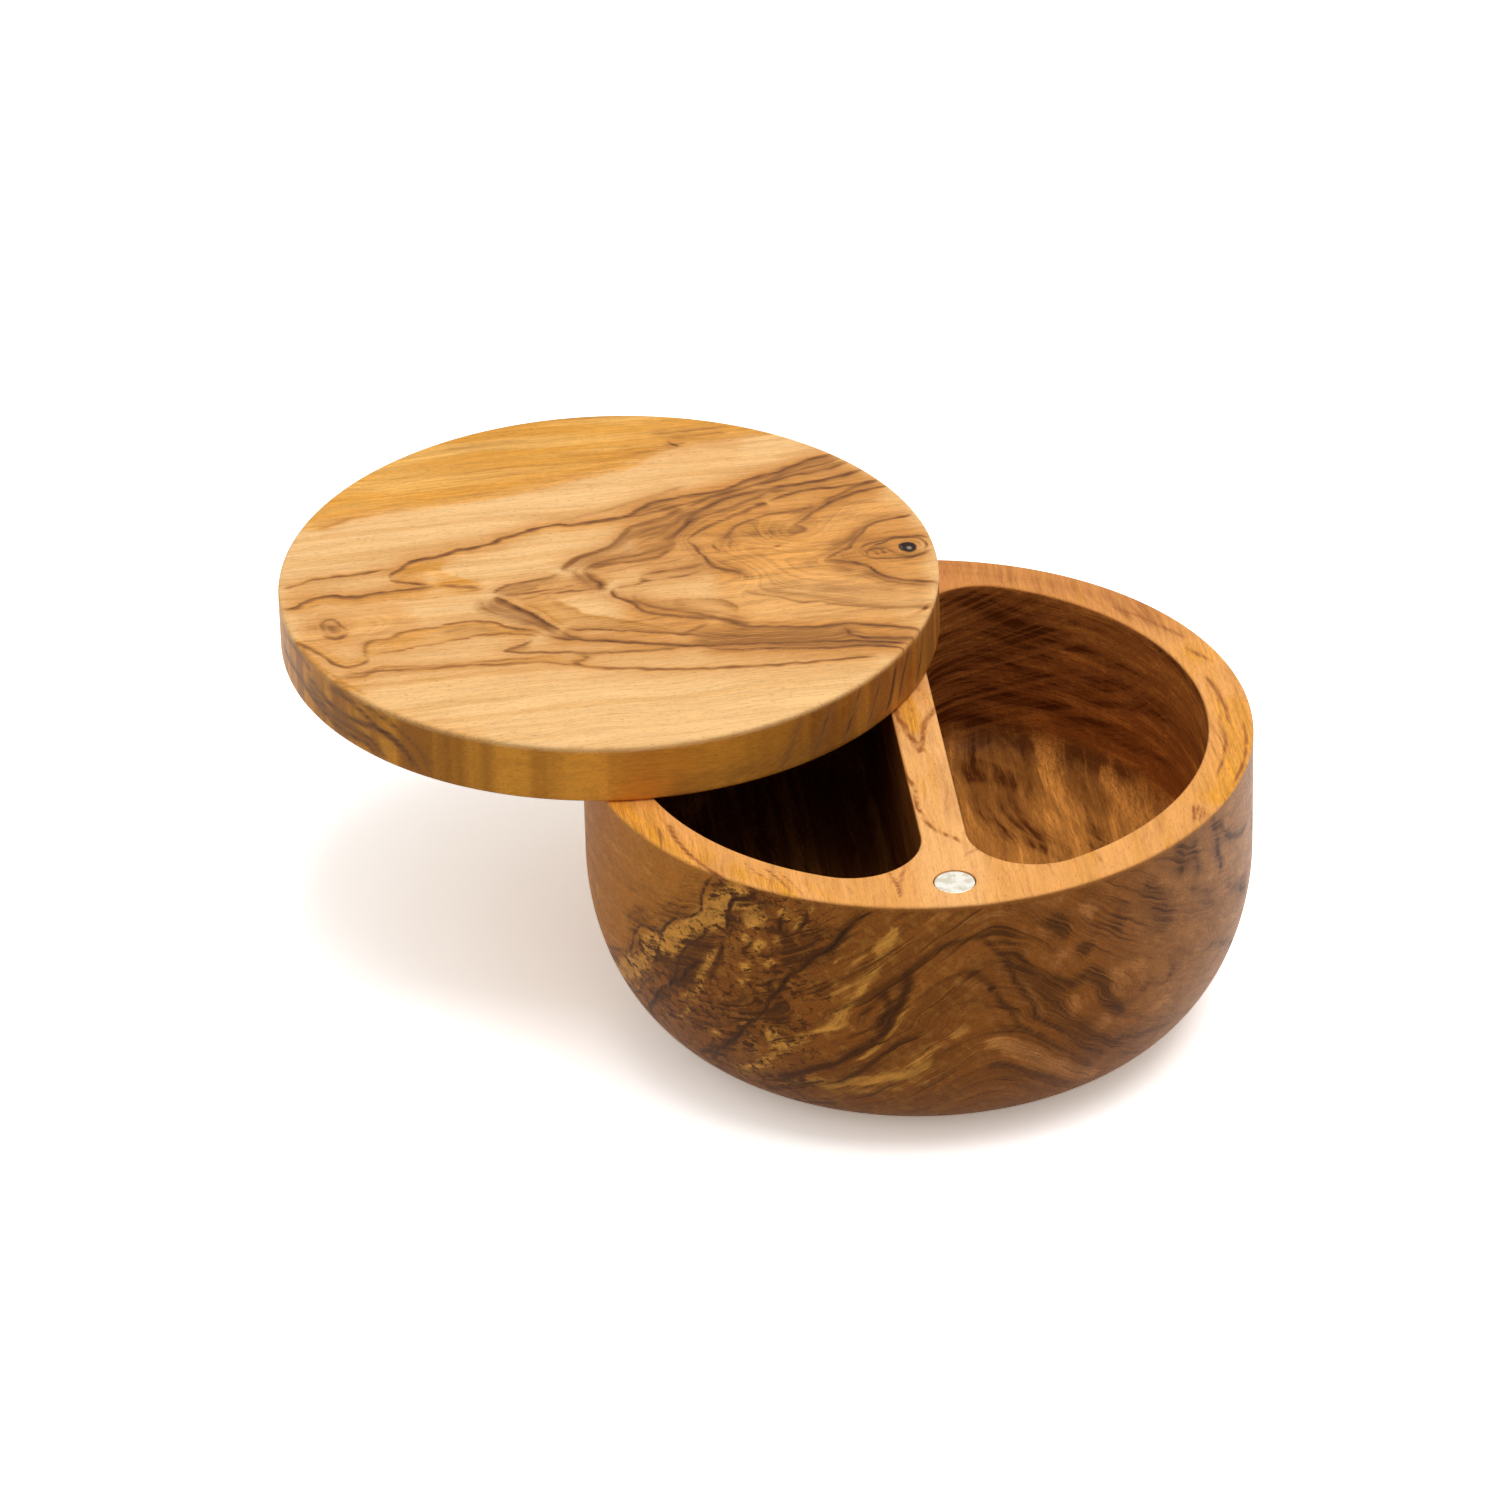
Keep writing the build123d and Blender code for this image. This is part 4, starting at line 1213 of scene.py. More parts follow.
# %% [markdown]
# ## The rim, the divider and the inside
# The rim shows the block's end grain and long grain by turns: fine fibres that run from front to
# back, with a golden flame on the divider and golden wood at the left front and at the right.
# Those strokes are in millimetres from the bowl's middle, as seen from above.

# %% Strokes on the rim and the divider
rim_strokes = [
    ("-4.4 16, -3.4 6, -2 -2, -.6 -9.5, .8 -2, 3 4, 4.6 8",
     dict(line=(.62, .5, .5), smoke=(.35, 1.2, .3))),
    ("-4 20, -1.8 9, -.2 -3", dict(amber=(.95, 2.6, 2.2))),
    ("-2.6 24, -1 12, 0 3", dict(line=(.35, .4, .4))),
    ("1.6 22, 2.6 13, 4.4 6", dict(line=(.35, .4, .4), amber=(.5, .8, .8))),
    ("-4.4 34, -1 28, 3.6 24", dict(line=(.4, .5, .5))),
    ("-4.4 -12, -3.9 -24, -3.2 -33, -1 -39, 2.6 -43.5, 4 -46",
     dict(line=(.55, .45, .4), amber=(.3, 1.4, .3))),
    ("3.2 -10, 2.8 -20, 3.4 -30, 5 -38", dict(smoke=(.3, 1.4, 1.4))),
    ("2 -50, 5 -47.4, 9 -46.6", dict(line=(.35, .5, .5))),
    ("-4 -44, -8 -48, -10 -54, -10.6 -62", dict(line=(.35, .5, .5))),
    ("17 -47, 18.4 -53, 19.6 -60", dict(line=(.35, .4, .4))),
    ("26 -45, 28 -51, 30 -57", dict(line=(.3, .4, .4), amber=(.4, 1.6, 1.6))),
    ("-13 -51, -12 -55, -11 -59, -11.4 -64", dict(line=(.4, .4, .4))),
    ("7 -48, 9 -52, 11 -58", dict(line=(.35, .35, .35))),
    ("-17 -52, -17 -58, -18.6 -63", dict(line=(.2, .5, .5))),
    ("49.4 -36, 48.8 -43.4", dict(line=(.6, .35, .35))),
    ("50.3 -35.6, 50 -44", dict(line=(.5, .3, .3))),
    ("51.2 -37, 51 -42", dict(line=(.55, .35, .35))),
    ("-52.6 -28, -51.4 -36, -48.6 -43, -45.6 -48, -43 -51",
     dict(line=(.7, .35, .4), smoke=(.3, 1.2, .5))),
    ("-64 -10, -60 -24, -54 -36, -46 -46", dict(amber=(.95, 3.6, 4.0))),
    ("-44 -45, -39 -50.6, -33 -56, -30 -60", dict(amber=(.9, 2.0, 2.0))),
    ("-39.6 -44, -38 -49, -34.6 -54", dict(line=(.5, .3, .3))),
    ("-37 -46, -33.6 -52.4, -31 -58", dict(line=(.45, .3, .3))),
    ("-33.6 -49, -31 -54, -29 -60", dict(line=(.4, .3, .3))),
    ("-28 -52, -26.6 -57, -25 -61", dict(amber=(.5, 1.2, 1.2))),
    ("-21 -55, -20 -61", dict(line=(.25, .5, .5))),
    ("63 4, 62 -12, 58.6 -26, 53 -38", dict(amber=(.95, 3.6, 3.6))),
    ("60 -2, 59 -16, 55.6 -28", dict(line=(.4, .45, .45))),
    ("64.6 -6, 62.4 -20, 58 -31", dict(line=(.45, .45, .45))),
    ("59 12, 61 4, 61.6 -8", dict(line=(.5, .5, .5))),
    ("57 24, 62 16", dict(line=(.6, .5, .5), amber=(.6, 2.6, 2.6))),
    ("44 42, 52 34, 58 26", dict(line=(.5, .5, .5), smoke=(.4, 2, 2))),
    ("20 58, 34 52, 46 43, 54 33", dict(smoke=(.4, 4.4, 3.4))),
    ("2 64, 14 61.6, 26 57", dict(smoke=(.3, 5, 5))),
    ("-20 60, -40 48, -54 34, -62 18", dict(smoke=(.3, 4, 4), amber=(.2, 4, 4))),
]

# %% Paint the bowl
gold_edge_depth = [0, 6, 9.5, 12, 14.5, 17.5, 20, 24, 27, 31, 34.5, 38, 50, 80]
gold_edge_angle = [-134, -136, -136.2, -138, -142, -144.5, -147, -153.5, -155, -158, -163, -170,
                   -178, -186]
spot = points_mm(bowl)
reach = np.hypot(spot[:, 0], spot[:, 1])
top_mm, floor_mm = rim_height / mm, pocket_floor / mm
past_wall, past_pin, past_magnet = 58.6, 3.4, 4.5  # radii just outside the pockets and the holes
inside = (reach < past_wall) & (spot[:, 2] > floor_mm - 0.1) & (spot[:, 2] < top_mm - 0.02)
for middle_of_hole, hole_size in ((pin / mm, past_pin), (bowl_magnet / mm, past_magnet)):
    in_hole = np.hypot(spot[:, 0] - middle_of_hole.x, spot[:, 1] - middle_of_hole.y) < hole_size
    in_hole &= spot[:, 2] > floor_mm
    inside |= in_hole & (spot[:, 2] < top_mm - 0.02)
below = top_mm - spot[:, 2]
in_pocket = inside * soft_step(below, 0.1, 0.7)
on_rim = (1 - soft_step(below, 0.15, 0.75)) * (1 - in_pocket)
outside = 1 - np.maximum(in_pocket, on_rim)
# length down the outside: straight down the wall, then along the belly's curve
curve_reach = np.linspace(radius, foot_radius, 60) / mm
curve_height = belly_height / mm * (1 - np.sqrt(np.clip(
    1 - ((curve_reach - foot_radius / mm) / ((radius - foot_radius) / mm)) ** 2, 0, 1)))
curve_length = straight_wall_mm + np.concatenate([[0], np.cumsum(np.hypot(
    np.diff(curve_reach), np.diff(curve_height)))])
down = np.where(spot[:, 2] > belly_height / mm, below,
                np.interp(-reach, -curve_reach, curve_length))
down = np.where(reach < foot_radius / mm, curve_length[-1] + foot_radius / mm - reach, down)
# the front is what has been seen, and the back is the front turned over at this angle
seam_angle = 5
angle = np.degrees(np.arctan2(spot[:, 1], spot[:, 0]))
front, back = angle <= seam_angle, angle > seam_angle
front_angle = np.where(front, angle, 2 * seam_angle - angle)
wall_per_degree = 1.1606
arch_angle, arch_rise, arch_width, arch_round = -84, 48, 46, 6
coats = {name: np.zeros(len(spot)) for name in ("line", "smoke", "amber")}
rings, hearts = np.zeros(len(spot)), np.zeros(len(spot))
stretched = [(", ".join(f"{x * wall_per_degree:.2f} {y}" for x, y in points_of(text)), look)
             for text, look in bowl_side_strokes]
where = np.stack([front_angle * wall_per_degree, -down], 1)
for half, size, amount, seed in ((front, 5.5, 0.22, 3), (back, 44, 3.6, 4)):
    moved = wander(where, size, amount, seed)
    if half is back:  # it strays from the front's copy only away from where the two meet
        from_seam = soft_step(np.minimum(180 - angle, angle - seam_angle), 0, 18)[:, None]
        moved = where + (moved - where) * from_seam
    moved = moved[half]
    for name, coat in paint(moved, stretched).items():
        coats[name][half] = coat * outside[half]
    # the growth rings arch over the front like a curtain
    across = moved[:, 0] - arch_angle * wall_per_degree
    rings[half] = -moved[:, 1] - arch_rise * np.tanh(
        np.sqrt(across ** 2 + arch_round ** 2) / arch_width)
    edge = np.interp(-moved[:, 1], gold_edge_depth, gold_edge_angle) * wall_per_degree
    hearts[half] = soft_step(moved[:, 0] - edge, -0.8, 2.6)
flat = wander(spot[:, :2], 12, 0.25, 5)
for name, coat in paint(flat, rim_strokes).items():
    coats[name] = np.clip(coats[name] + coat * on_rim, 0, 1)
for name, coat in coats.items():
    store(bowl, name, coat)
# on the rim and inside, the rings lie round the tree's middle, which is above the block
middle_x, middle_z, flattened, rising = 8, 95, 0.8, 0.10
lean = wander(spot[:, :2], 34, 3.2, 6)
solid = np.hypot(lean[:, 0] - middle_x, (spot[:, 2] - middle_z) * flattened) + rising * lean[:, 1]
store(bowl, "ring", np.where(inside | (below < 0.7), solid, rings))
store(bowl, "heart", np.where(inside, soft_step(spot[:, 2], floor_mm + 1, floor_mm + 9), hearts))
store(bowl, "rim", on_rim)
store(bowl, "pocket", in_pocket)

# %% [markdown]
# ## One figure for both woods
# The lid and the bowl share one effect, so it is a node group, built once: fibres, flecks, pores,
# growth lines and mottling, laid over the painted `line`, `smoke` and `amber`. The growth lines,
# the mottling and the ragged edges are read at (growth ring, place along the grain), so they flow
# round the flames, while fibres, flecks and pores lie straight in the solid wood. `Crisp` says how
# far a painted edge is torn ragged, as dry, cracked wood has it. Each material gives the group its
# own colours. It puts out a colour, a roughness and a height for the bump.

# %% Node group for the figure
def srgb(red, green, blue):
    """A colour as a picture program shows it, turned to the linear values that Blender wants."""
    return tuple(((c / 255 + 0.055) / 1.055) ** 2.4 if c > 10 else c / 255 / 12.92
                 for c in (red, green, blue)) + (1,)


def maths(tree, operation, a, b=0.0, clamp=False):
    node = add_node(tree, "ShaderNodeMath", operation=operation, values={0: a, 1: b})
    node.use_clamp = clamp
    return node.outputs[0]


def times(tree, *values, clamp=False):
    """All of these multiplied, from the left."""
    product = values[0]
    for value in values[1:]:
        product = maths(tree, "MULTIPLY", product, value, clamp)
    return product


def plus(tree, *values, clamp=False):
    """All of these added up, from the left."""
    total = values[0]
    for value in values[1:]:
        total = maths(tree, "ADD", total, value, clamp)
    return total


def minus(tree, a, b):
    return maths(tree, "SUBTRACT", a, b)


def blend_colour(tree, amount, a, b):
    return add_node(tree, "ShaderNodeMix", data_type="RGBA", values={
        "Factor": amount, "A": a, "B": b}).outputs[2]


def map_range(tree, value, low, high, to_low=0.0, to_high=1.0, smooth=True):
    node = add_node(tree, "ShaderNodeMapRange", values={
        "Value": value, "From Min": low, "From Max": high, "To Min": to_low, "To Max": to_high})
    node.interpolation_type = "SMOOTHSTEP" if smooth else "LINEAR"
    return node.outputs[0]


def blend_number(tree, amount, a, b):
    return add_node(tree, "ShaderNodeMix", data_type="FLOAT", values={
        "Factor": amount, "A": a, "B": b}).outputs[0]


def noise(tree, x, y, z=0.0, detail=2.0, rough=0.5):
    place = add_node(tree, "ShaderNodeCombineXYZ", values={0: x, 1: y, 2: z})
    node = add_node(tree, "ShaderNodeTexNoise", values={
        "Vector": place.outputs[0], "Scale": 1.0, "Detail": detail, "Roughness": rough})
    return node.outputs[0]


def new_group(name, inputs, outputs):
    """A shader node group with these named sockets; returns its tree, inputs and output node."""
    group = bpy.data.node_groups.new(name, "ShaderNodeTree")
    for label, kind, value in inputs:
        socket = group.interface.new_socket(label, in_out="INPUT", socket_type=kind)
        if value is not None:
            socket.default_value = value
    for label, kind in outputs:
        group.interface.new_socket(label, in_out="OUTPUT", socket_type=kind)
    return group, group.nodes.new("NodeGroupInput"), group.nodes.new("NodeGroupOutput")


number, colour = "NodeSocketFloat", "NodeSocketColor"
figure, given, result = new_group("wood_figure", [
    ("Ring", number, 0.0), ("Across", number, 0.0), ("Along", number, 0.0),
    ("Depth", number, 0.0), ("Line", number, 0.0), ("Smoke", number, 0.0),
    ("Amber", number, 0.0), ("Base", colour, None), ("Gold", colour, None),
    ("Haze", colour, None), ("Ink", colour, None), ("Fibre", number, 1.0),
    ("Growth", number, 0.2), ("Mottle", number, 0.0), ("Crisp", number, 0.0)],
    [("Color", colour), ("Roughness", number), ("Height", number)])
g = given.outputs


def ring_noise(per_mm, along_per_mm, shift, detail=2.0, rough=0.5):
    """Noise that follows the growth rings, and is stretched along the grain."""
    return noise(figure, times(figure, g["Ring"], per_mm),
                 times(figure, g["Along"], along_per_mm), shift, detail, rough)


# the threads lie a little askew in depth, so that no flat face runs along the noise's own cells
askew = plus(figure, g["Depth"], times(figure, g["Across"], 0.29),
             times(figure, g["Along"], 0.023))


def fibre_noise(per_mm, along_per_mm, detail=2.0, rough=0.5):
    """Noise in the solid wood, as fine threads that all lie along the grain."""
    return noise(figure, times(figure, g["Across"], per_mm),
                 times(figure, g["Along"], along_per_mm), times(figure, askew, per_mm),
                 detail, rough)


fibre = fibre_noise(2.2, 0.07, detail=3.0, rough=0.65)
fleck = fibre_noise(4.4, 0.45, detail=1.0)
plank = fibre_noise(0.45, 0.012, detail=2.0)
pore = fibre_noise(6.5, 0.8, detail=0.0)
patch = ring_noise(0.30, 0.22, 21.0, detail=4.0, rough=0.62)
ragged = ring_noise(0.9, 0.30, 27.0, detail=3.0, rough=0.6)
streak = ring_noise(1.25, 0.035, 6.0)
band = ring_noise(0.34, 0.014, 9.0)
thread = ring_noise(0.85, 0.014, 12.0, detail=1.0)
fine_thread = ring_noise(1.9, 0.022, 15.0, detail=1.0)


def crisped(coat, low, high):
    """A coat of paint with its soft edge turned ragged, as far as Crisp asks for it."""
    torn = plus(figure, coat, times(figure, minus(figure, ragged, 0.5), 0.9))
    torn = times(figure, map_range(figure, torn, low, high), map_range(figure, coat, 0.03, 0.2))
    return blend_number(figure, g["Crisp"], coat, torn)


def crossing(value, half_width):
    """1 where the noise passes its middle value, fading to 0: a thin line."""
    off = maths(figure, "ABSOLUTE", minus(figure, value, 0.5))
    return map_range(figure, off, 0.0, half_width, 1.0, 0.0)


# growth lines: thin, in bundles, and stronger where the wood is smoky
growth = maths(figure, "MAXIMUM", crossing(thread, 0.10),
               times(figure, crossing(fine_thread, 0.13), 0.6))
growth = times(figure, growth, map_range(figure, band, 0.38, 0.58, 0.25, 1.0))
growth = times(figure, growth, plus(figure, g["Growth"], times(figure, g["Smoke"], 0.55)),
               clamp=True)
# the three paints, frayed into streaks by the grain
streaks = map_range(figure, plank, 0.32, 0.66, smooth=False)
smoke = times(figure, crisped(g["Smoke"], 0.10, 0.72),
              map_range(figure, streak, 0.34, 0.62, 0.42, 1.25), clamp=True)
amber = plus(figure, crisped(g["Amber"], 0.14, 0.60),
             times(figure, minus(figure, streaks, 0.5), 0.5), clamp=True)
line = times(figure, g["Line"], map_range(figure, streak, 0.3, 0.6, 0.8, 1.25, smooth=False))
mottled = times(figure, map_range(figure, patch, 0.42, 0.64), g["Mottle"])
colours = blend_colour(figure, amber, g["Base"], g["Gold"])
for hazy in (mottled, smoke, growth, map_range(figure, line, 0.05, 0.5)):
    colours = blend_colour(figure, hazy, colours, g["Haze"])
colours = blend_colour(figure, map_range(figure, line, 0.35, 0.95), colours, g["Ink"])
# fibres, flecks and pores darken and lighten all of it; crisp gold is plainer and brighter
grey = plus(figure, *(times(figure, minus(figure, grains, 0.5), strength)
                      for grains, strength in ((fibre, -1.0), (fleck, -0.55), (plank, -0.4))))
bite = times(figure, g["Fibre"], plus(
    figure, times(figure, g["Amber"], blend_number(figure, g["Crisp"], 1.3, -0.4)), 1.0))
shade = plus(figure, times(figure, grey, bite),
             plus(figure, times(figure, g["Crisp"], amber, 0.12), 1.0))
pores = map_range(figure, pore, 0.68, 0.78)
shade = times(figure, shade, map_range(figure, pores, 0.0, 1.0, 1.0, 0.87))
shaded = add_node(figure, "ShaderNodeVectorMath", operation="SCALE", values={
    0: colours, "Scale": shade})
# the pores also take a little of the haze's colour
tinted = blend_colour(figure, times(figure, pores, 0.3), shaded.outputs[0], g["Haze"])
rough = plus(figure, times(figure, fibre, 0.22), times(figure, smoke, 0.05), 0.34)
height = minus(figure, times(figure, fleck, 0.5), times(figure, pores, 0.6))
height = minus(figure, height, times(figure, line, 0.15))
for label, socket in (("Color", tinted), ("Roughness", rough), ("Height", height)):
    figure.links.new(socket, result.inputs[label])
print("figure group:", len(figure.nodes), "nodes")

# %% [markdown]
# ## The two wood materials
# Each material reads its piece's painted attributes and object coordinates, sets the colours,
# and adds what only it has: the lid's heartwood and its browner turned edge, the bowl's zones
# (outside, rim and pockets) and the turning marks in the pockets. The finish is an oiled satin,
# so the roughness is middling and the bump is shallow. The specular level is low, because the
# white surroundings would otherwise wash out the colours of the dark sides.

# %% Wood materials
def attribute(tree, name):
    return add_node(tree, "ShaderNodeAttribute", attribute_name=name).outputs["Fac"]


def position_mm(tree):
    """Object coordinates in millimetres, as x, y and z."""
    place = add_node(tree, "ShaderNodeTexCoord").outputs["Object"]
    place = add_node(tree, "ShaderNodeVectorMath", operation="SCALE", values={
        0: place, "Scale": 1000.0})
    return add_node(tree, "ShaderNodeSeparateXYZ", values={0: place.outputs[0]}).outputs


def surface(tree, base, roughness, height=None, bump=0.3, distance=0.0003, **settings):
    """A Principled surface with an optional bump, and the material's output."""
    values = {"Base Color": base, "Roughness": roughness}
    if height is not None:
        values["Normal"] = add_node(tree, "ShaderNodeBump", values={
            "Height": height, "Strength": bump, "Distance": distance}).outputs[0]
    values.update(settings)
    shader = add_node(tree, "ShaderNodeBsdfPrincipled", values=values)
    add_node(tree, "ShaderNodeOutputMaterial", values={"Surface": shader.outputs[0]})


def place_group(tree, group, **values):
    return add_node(tree, "ShaderNodeGroup", values, node_tree=group)


lid_wood = new_material("lid_olive_wood")
tree = lid_wood.node_tree
x, y, z = position_mm(tree)
heart, side, honey, halo, knot = (
    attribute(tree, name) for name in ("heart", "side", "honey", "halo", "knot"))
# the fibres lie along x, a little askew, and they bend gently
bend = noise(tree, times(tree, x, 0.018), times(tree, y, 0.03), 3.0)
across = plus(tree, y, times(tree, x, -0.06), times(tree, bend, 9.0))
veil = noise(tree, times(tree, across, 0.16), times(tree, x, 0.018), 5.0, detail=3.0, rough=0.55)
cream = blend_colour(tree, heart, srgb(251, 201, 136), srgb(252, 178, 92))
honey_colour = blend_colour(
    tree, map_range(tree, veil, 0.40, 0.60), srgb(244, 184, 96), srgb(232, 162, 62))
base = blend_colour(tree, honey, cream, honey_colour)
# the turned edge is browner
edge = blend_colour(
    tree, map_range(tree, veil, 0.42, 0.58), srgb(248, 168, 62), srgb(188, 119, 42))
# painted shade darkens the turned edge towards the bowl
edge = blend_colour(tree, map_range(tree, x, -52.0, -24.0, 0.0, 0.5), edge, srgb(112, 60, 20))
base = blend_colour(tree, side, base, edge)
gold = blend_colour(tree, side, srgb(232, 160, 62), srgb(224, 146, 54))
# a faint haze drifts along the grain of the heartwood and the honey-coloured wood
drift = noise(tree, times(tree, across, 0.50), times(tree, x, 0.045), 8.0, detail=4.0, rough=0.6)
drift = times(tree, map_range(tree, drift, 0.46, 0.66),
              maths(tree, "MAXIMUM", heart, times(tree, honey, 0.45)))
smoke = plus(tree, attribute(tree, "smoke"), times(tree, drift, 0.5))
brown = srgb(212, 140, 64)
base = blend_colour(tree, times(tree, halo, 0.95), base, brown)
gold = blend_colour(tree, times(tree, halo, 0.6), gold, brown)
grain = place_group(
    tree, figure, Ring=attribute(tree, "ring"), Across=across, Along=x, Depth=z,
    Line=attribute(tree, "line"), Smoke=smoke, Amber=attribute(tree, "amber"),
    Base=base, Gold=gold, Haze=srgb(160, 105, 53), Ink=srgb(106, 64, 32),
    Fibre=0.6, Growth=times(tree, heart, 0.34), Mottle=0.0)
# the knot's core is nearly black, and a painted highlight in pale grey lies on it where knot
# passes 1
core, painted_glint_colour = srgb(40, 24, 16), srgb(150, 136, 118)
wood = blend_colour(tree, map_range(tree, knot, 0.0, 0.8), grain.outputs["Color"], core)
wood = blend_colour(tree, map_range(tree, knot, 1.0, 1.9), wood, painted_glint_colour)
surface(tree, wood, grain.outputs["Roughness"], grain.outputs["Height"],
        **{"Specular IOR Level": 0.08})

bowl_wood = new_material("bowl_olive_wood")
tree = bowl_wood.node_tree
x, y, z = position_mm(tree)
heart, rim, pocket = (attribute(tree, name) for name in ("heart", "rim", "pocket"))
outside = minus(tree, 1.0, maths(tree, "MAXIMUM", rim, pocket))
sway = noise(tree, times(tree, x, 0.02), times(tree, y, 0.025), times(tree, z, 0.02))
# on the right-hand side a painted sheen, as of light reflected from the right, makes the wood
# paler and greyer; the rim is redder at the back and palest along the middle, where the divider is
painted_sheen = map_range(tree, plus(tree, x, times(tree, sway, 24.0)), 36.0, 74.0)
base = blend_colour(tree, painted_sheen, srgb(170, 101, 40), srgb(200, 138, 88))
base = blend_colour(tree, heart, srgb(214, 134, 50), base)
rim_base = blend_colour(
    tree, map_range(tree, y, 15.0, 45.0), srgb(244, 172, 96), srgb(230, 154, 84))
from_middle = maths(tree, "ABSOLUTE", x)
rim_base = blend_colour(
    tree, map_range(tree, from_middle, 9.0, 5.0), rim_base, srgb(252, 186, 114))
base = blend_colour(tree, rim, base, rim_base)
inner = blend_colour(tree, heart, srgb(197, 129, 58), srgb(168, 104, 48))
# the floor darkens to the back, and painted shade darkens the cove at the right pocket's wall
floor_shade = times(tree, minus(tree, 1.0, heart), map_range(tree, y, 0.0, 36.0, 0.0, 0.45))
inner = blend_colour(tree, floor_shade, inner, srgb(122, 68, 28))
towards_right = plus(tree, x, times(tree, sway, 12.0))
painted_cove_shade = times(tree, map_range(tree, z, 22.6, 24.6), map_range(tree, z, 29.5, 25.5),
             map_range(tree, towards_right, 14.0, 36.0, 0.0, 0.7))
inner = blend_colour(tree, painted_cove_shade, inner, srgb(92, 48, 20))
# the left pocket is painted darker: painted shade, as from the lid that covers it
left_pocket_shade = map_range(tree, x, -8.0, 0.0, 0.85, 0.0)
inner = blend_colour(tree, left_pocket_shade, inner, srgb(86, 44, 18))
base = blend_colour(tree, pocket, base, inner)
gold = blend_colour(
    tree, map_range(tree, x, -14.0, 16.0), srgb(255, 178, 80), srgb(226, 148, 82))
# the painted sheen also pales the gold, and greys the haze and the ink
gold = blend_colour(tree, painted_sheen, gold, srgb(250, 180, 112))
gold = blend_colour(tree, rim, gold, srgb(238, 162, 58))
gold = blend_colour(tree, pocket, gold, srgb(240, 160, 74))
haze = blend_colour(tree, painted_sheen, srgb(92, 52, 20), srgb(94, 62, 44))
haze = blend_colour(tree, rim, haze, srgb(176, 108, 54))
haze = blend_colour(tree, pocket, haze, srgb(92, 46, 16))
ink = blend_colour(tree, painted_sheen, srgb(42, 22, 8), srgb(80, 50, 32))
ink = blend_colour(tree, rim, ink, srgb(140, 80, 38))
mottle = times(tree, outside, blend_number(tree, heart, 0.06, 0.30))
# outside, the heartwood flows in bands that follow the painted rings, fainter under the painted
# sheen at the front and full again behind
ring = attribute(tree, "ring")
flow = noise(tree, times(tree, ring, 0.42), times(tree, y, 0.05), times(tree, x, 0.05), 4.0, 0.66)
flows = maths(tree, "MAXIMUM", map_range(tree, painted_sheen, 0.0, 1.0, 1.0, 0.4),
              map_range(tree, y, 4.0, 34.0, 0.0, 1.0))
flows = times(tree, outside, heart, flows)
dark_flow = times(tree, map_range(tree, flow, 0.50, 0.66), flows)
gold_flow = times(tree, map_range(tree, flow, 0.48, 0.34), flows)
# inside the pockets the growth lies level: streaks run along the walls and over the floor
level = plus(tree, z, times(tree, x, 0.16), times(tree, sway, 16.0))
wall_streak = noise(tree, times(tree, level, 0.24), times(tree, y, 0.03), times(tree, x, 0.03),
                    5.0, 0.68)
floor_streak = noise(tree, times(tree, towards_right, 0.13), times(tree, y, 0.016), 5.0, 5.0, 0.66)
run = blend_number(tree, heart, floor_streak, wall_streak)
dark_streak = times(tree, map_range(tree, run, 0.47, 0.68), pocket)
gold_streak = times(tree, map_range(tree, run, 0.50, 0.34), pocket, minus(tree, 1.0, left_pocket_shade))
turned_marks = noise(tree, times(tree, z, 1.9), 0.0, 2.0, detail=2.0)
turned_marks = times(tree, map_range(tree, turned_marks, 0.45, 0.7), times(tree, pocket, heart))
# the rim's streaks run from front to back, some broad and some fine
rim_streak = noise(tree, times(tree, towards_right, 0.34), times(tree, y, 0.035), 9.0, 3.0, 0.6)
fine_streak = noise(tree, times(tree, towards_right, 1.0), times(tree, y, 0.05), 13.0, 2.0, 0.6)
# dark crumbs of bark are caught in the gold where it borders on the dark wood
crumbs = noise(tree, times(tree, x, 0.42), times(tree, y, 0.42), times(tree, z, 0.60), 5.0, 0.72)
crumbs = times(tree, map_range(tree, crumbs, 0.47, 0.60),
               times(tree, outside, map_range(tree, heart, 0.35, 1.0)),
               map_range(tree, x, -18.0, -34.0))
# and painted shade darkens the pockets' walls towards the hinge
hinge_side = minus(tree, y, times(tree, x, 0.8))
smoke = plus(
    tree, attribute(tree, "smoke"),
    times(tree, dark_streak, blend_number(tree, heart, 1.1, 0.7)),
    # painted shade in the left pocket
    times(tree, pocket, times(tree, left_pocket_shade, 0.35)),
    times(tree, pocket, heart, map_range(tree, hinge_side, 10.0, 34.0, 0.0, 0.38)),
    times(tree, dark_flow, 0.45),
    times(tree, map_range(tree, rim_streak, 0.50, 0.68), rim, 0.22),
    times(tree, turned_marks, 0.32),
    times(tree, crumbs, 0.62),
    times(tree, map_range(tree, fine_streak, 0.54, 0.70), rim,
          map_range(tree, attribute(tree, "amber"), 0.0, 0.6, 0.15, 0.6)))
amber = plus(
    tree, attribute(tree, "amber"),
    times(tree, gold_streak, blend_number(tree, heart, 0.95, 0.5)),
    times(tree, gold_flow, 0.20),
    times(tree, map_range(tree, rim_streak, 0.48, 0.36), rim, 0.28))
grain = place_group(
    tree, figure, Ring=ring, Across=x, Along=y, Depth=z, Line=attribute(tree, "line"),
    Smoke=smoke, Amber=amber, Base=base, Gold=gold, Haze=haze, Ink=ink,
    Fibre=blend_number(tree, rim, 0.85, 0.5), Growth=times(tree, outside, 0.22), Mottle=mottle,
    Crisp=times(tree, outside, map_range(tree, x, -8.0, 20.0, 1.0, 0.4)))
surface(tree, grain.outputs["Color"], grain.outputs["Roughness"], grain.outputs["Height"],
        **{"Specular IOR Level": 0.06})

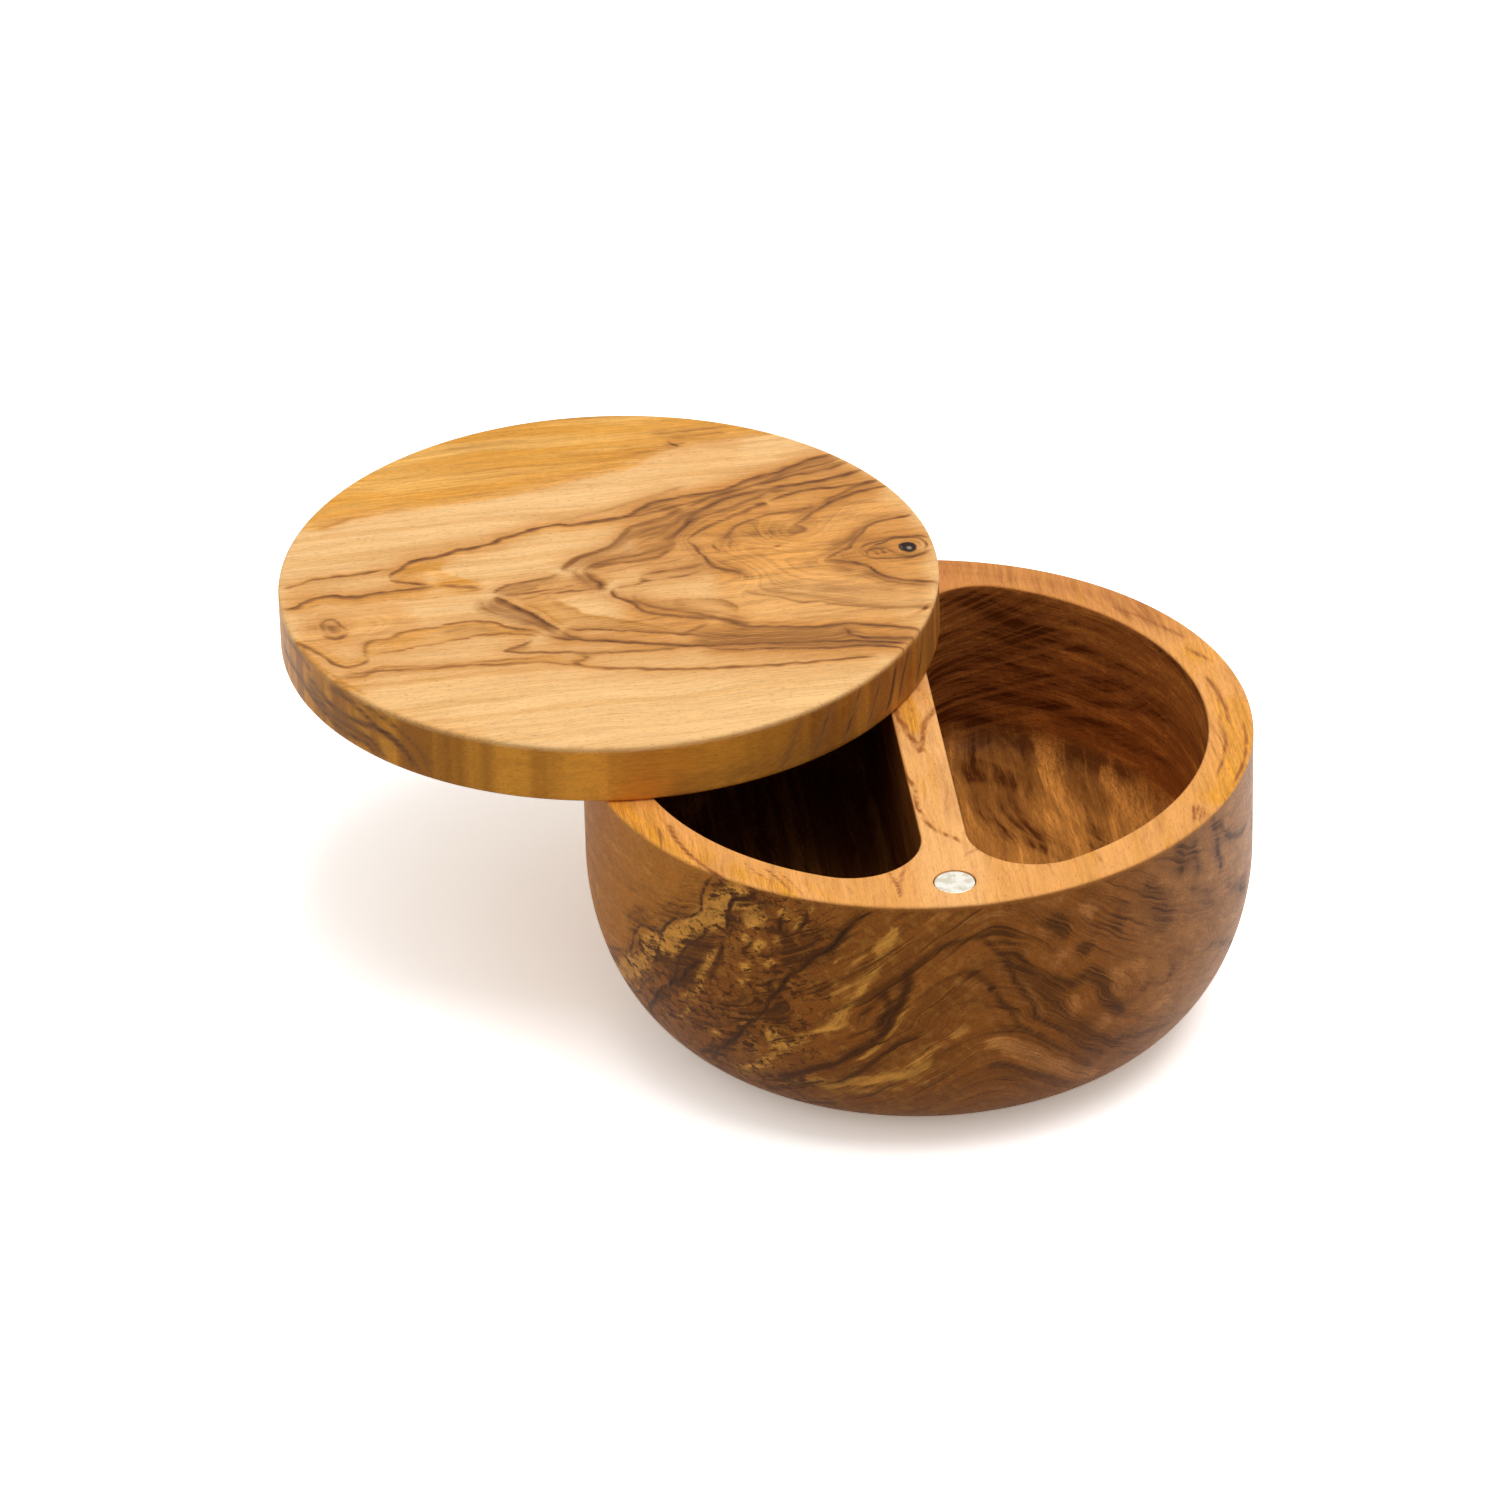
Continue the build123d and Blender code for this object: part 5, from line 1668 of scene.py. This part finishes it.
# %% [markdown]
# ## Steel, nickel and glue
# The dowel is plain bright steel, brushed along its length. The magnets are plated with nickel,
# which goes a little yellow and cloudy with handling. The glue in their recesses is a clear
# yellowish epoxy with a wet shine.

# %% Metal and glue materials
steel = new_material("dowel_steel")
tree = steel.node_tree
x, y, z = position_mm(tree)
brushed = noise(tree, times(tree, x, 9.0), times(tree, y, 9.0), times(tree, z, 0.6), detail=2.0)
surface(tree, blend_colour(tree, brushed, srgb(200, 200, 200), srgb(168, 168, 170)),
        map_range(tree, brushed, 0.2, 0.8, 0.24, 0.42), brushed, bump=0.15, distance=0.00005,
        Metallic=1.0)

nickel = new_material("magnet_nickel")
tree = nickel.node_tree
x, y, z = position_mm(tree)
cloud = noise(tree, times(tree, x, 0.5), times(tree, y, 0.5), 1.0, 4.0)
scuff = noise(tree, times(tree, x, 5.0), times(tree, y, 5.0), 2.0, 3.0)
surface(tree, blend_colour(tree, map_range(tree, cloud, 0.4, 0.62), srgb(243, 239, 226),
                           srgb(216, 208, 188)),
        map_range(tree, scuff, 0.3, 0.7, 0.30, 0.50), scuff, bump=0.12, distance=0.00005,
        Metallic=0.9)

glue = new_material("clear_glue")
tree = glue.node_tree
x, y, z = position_mm(tree)
lumps = noise(tree, times(tree, x, 1.4), times(tree, y, 1.4), z, 3.0)
surface(tree, blend_colour(tree, lumps, srgb(150, 112, 60), srgb(112, 76, 36)),
        map_range(tree, lumps, 0.3, 0.7, 0.15, 0.35), lumps, bump=0.3, distance=0.0001)

for piece, material in ((lid, lid_wood), (bowl, bowl_wood)):
    piece.data.materials.clear()
    piece.data.materials.append(material)
for node, material in (("pivot_pin", steel), ("bowl_magnet", nickel), ("lid_magnet", nickel),
                       ("bowl_magnet_glue", glue), ("lid_magnet_glue", glue)):
    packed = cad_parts[node]
    for slot_number in range(len(packed.material_slots)):
        packed.material_slots[slot_number].material = material
    print(node, "has", len(packed.material_slots), "material slot")

# %% [markdown]
# ## Which piece moves with what
# The lid's disc rides on the lid's body and the bowl's block on the bowl's.

# %% Hand over
for piece, node, body, slot in ((lid, "lid", "lid", "lid_wood"),
                                (bowl, "bowl", "bowl", "bowl_wood")):
    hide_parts(node)
    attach(piece, body)
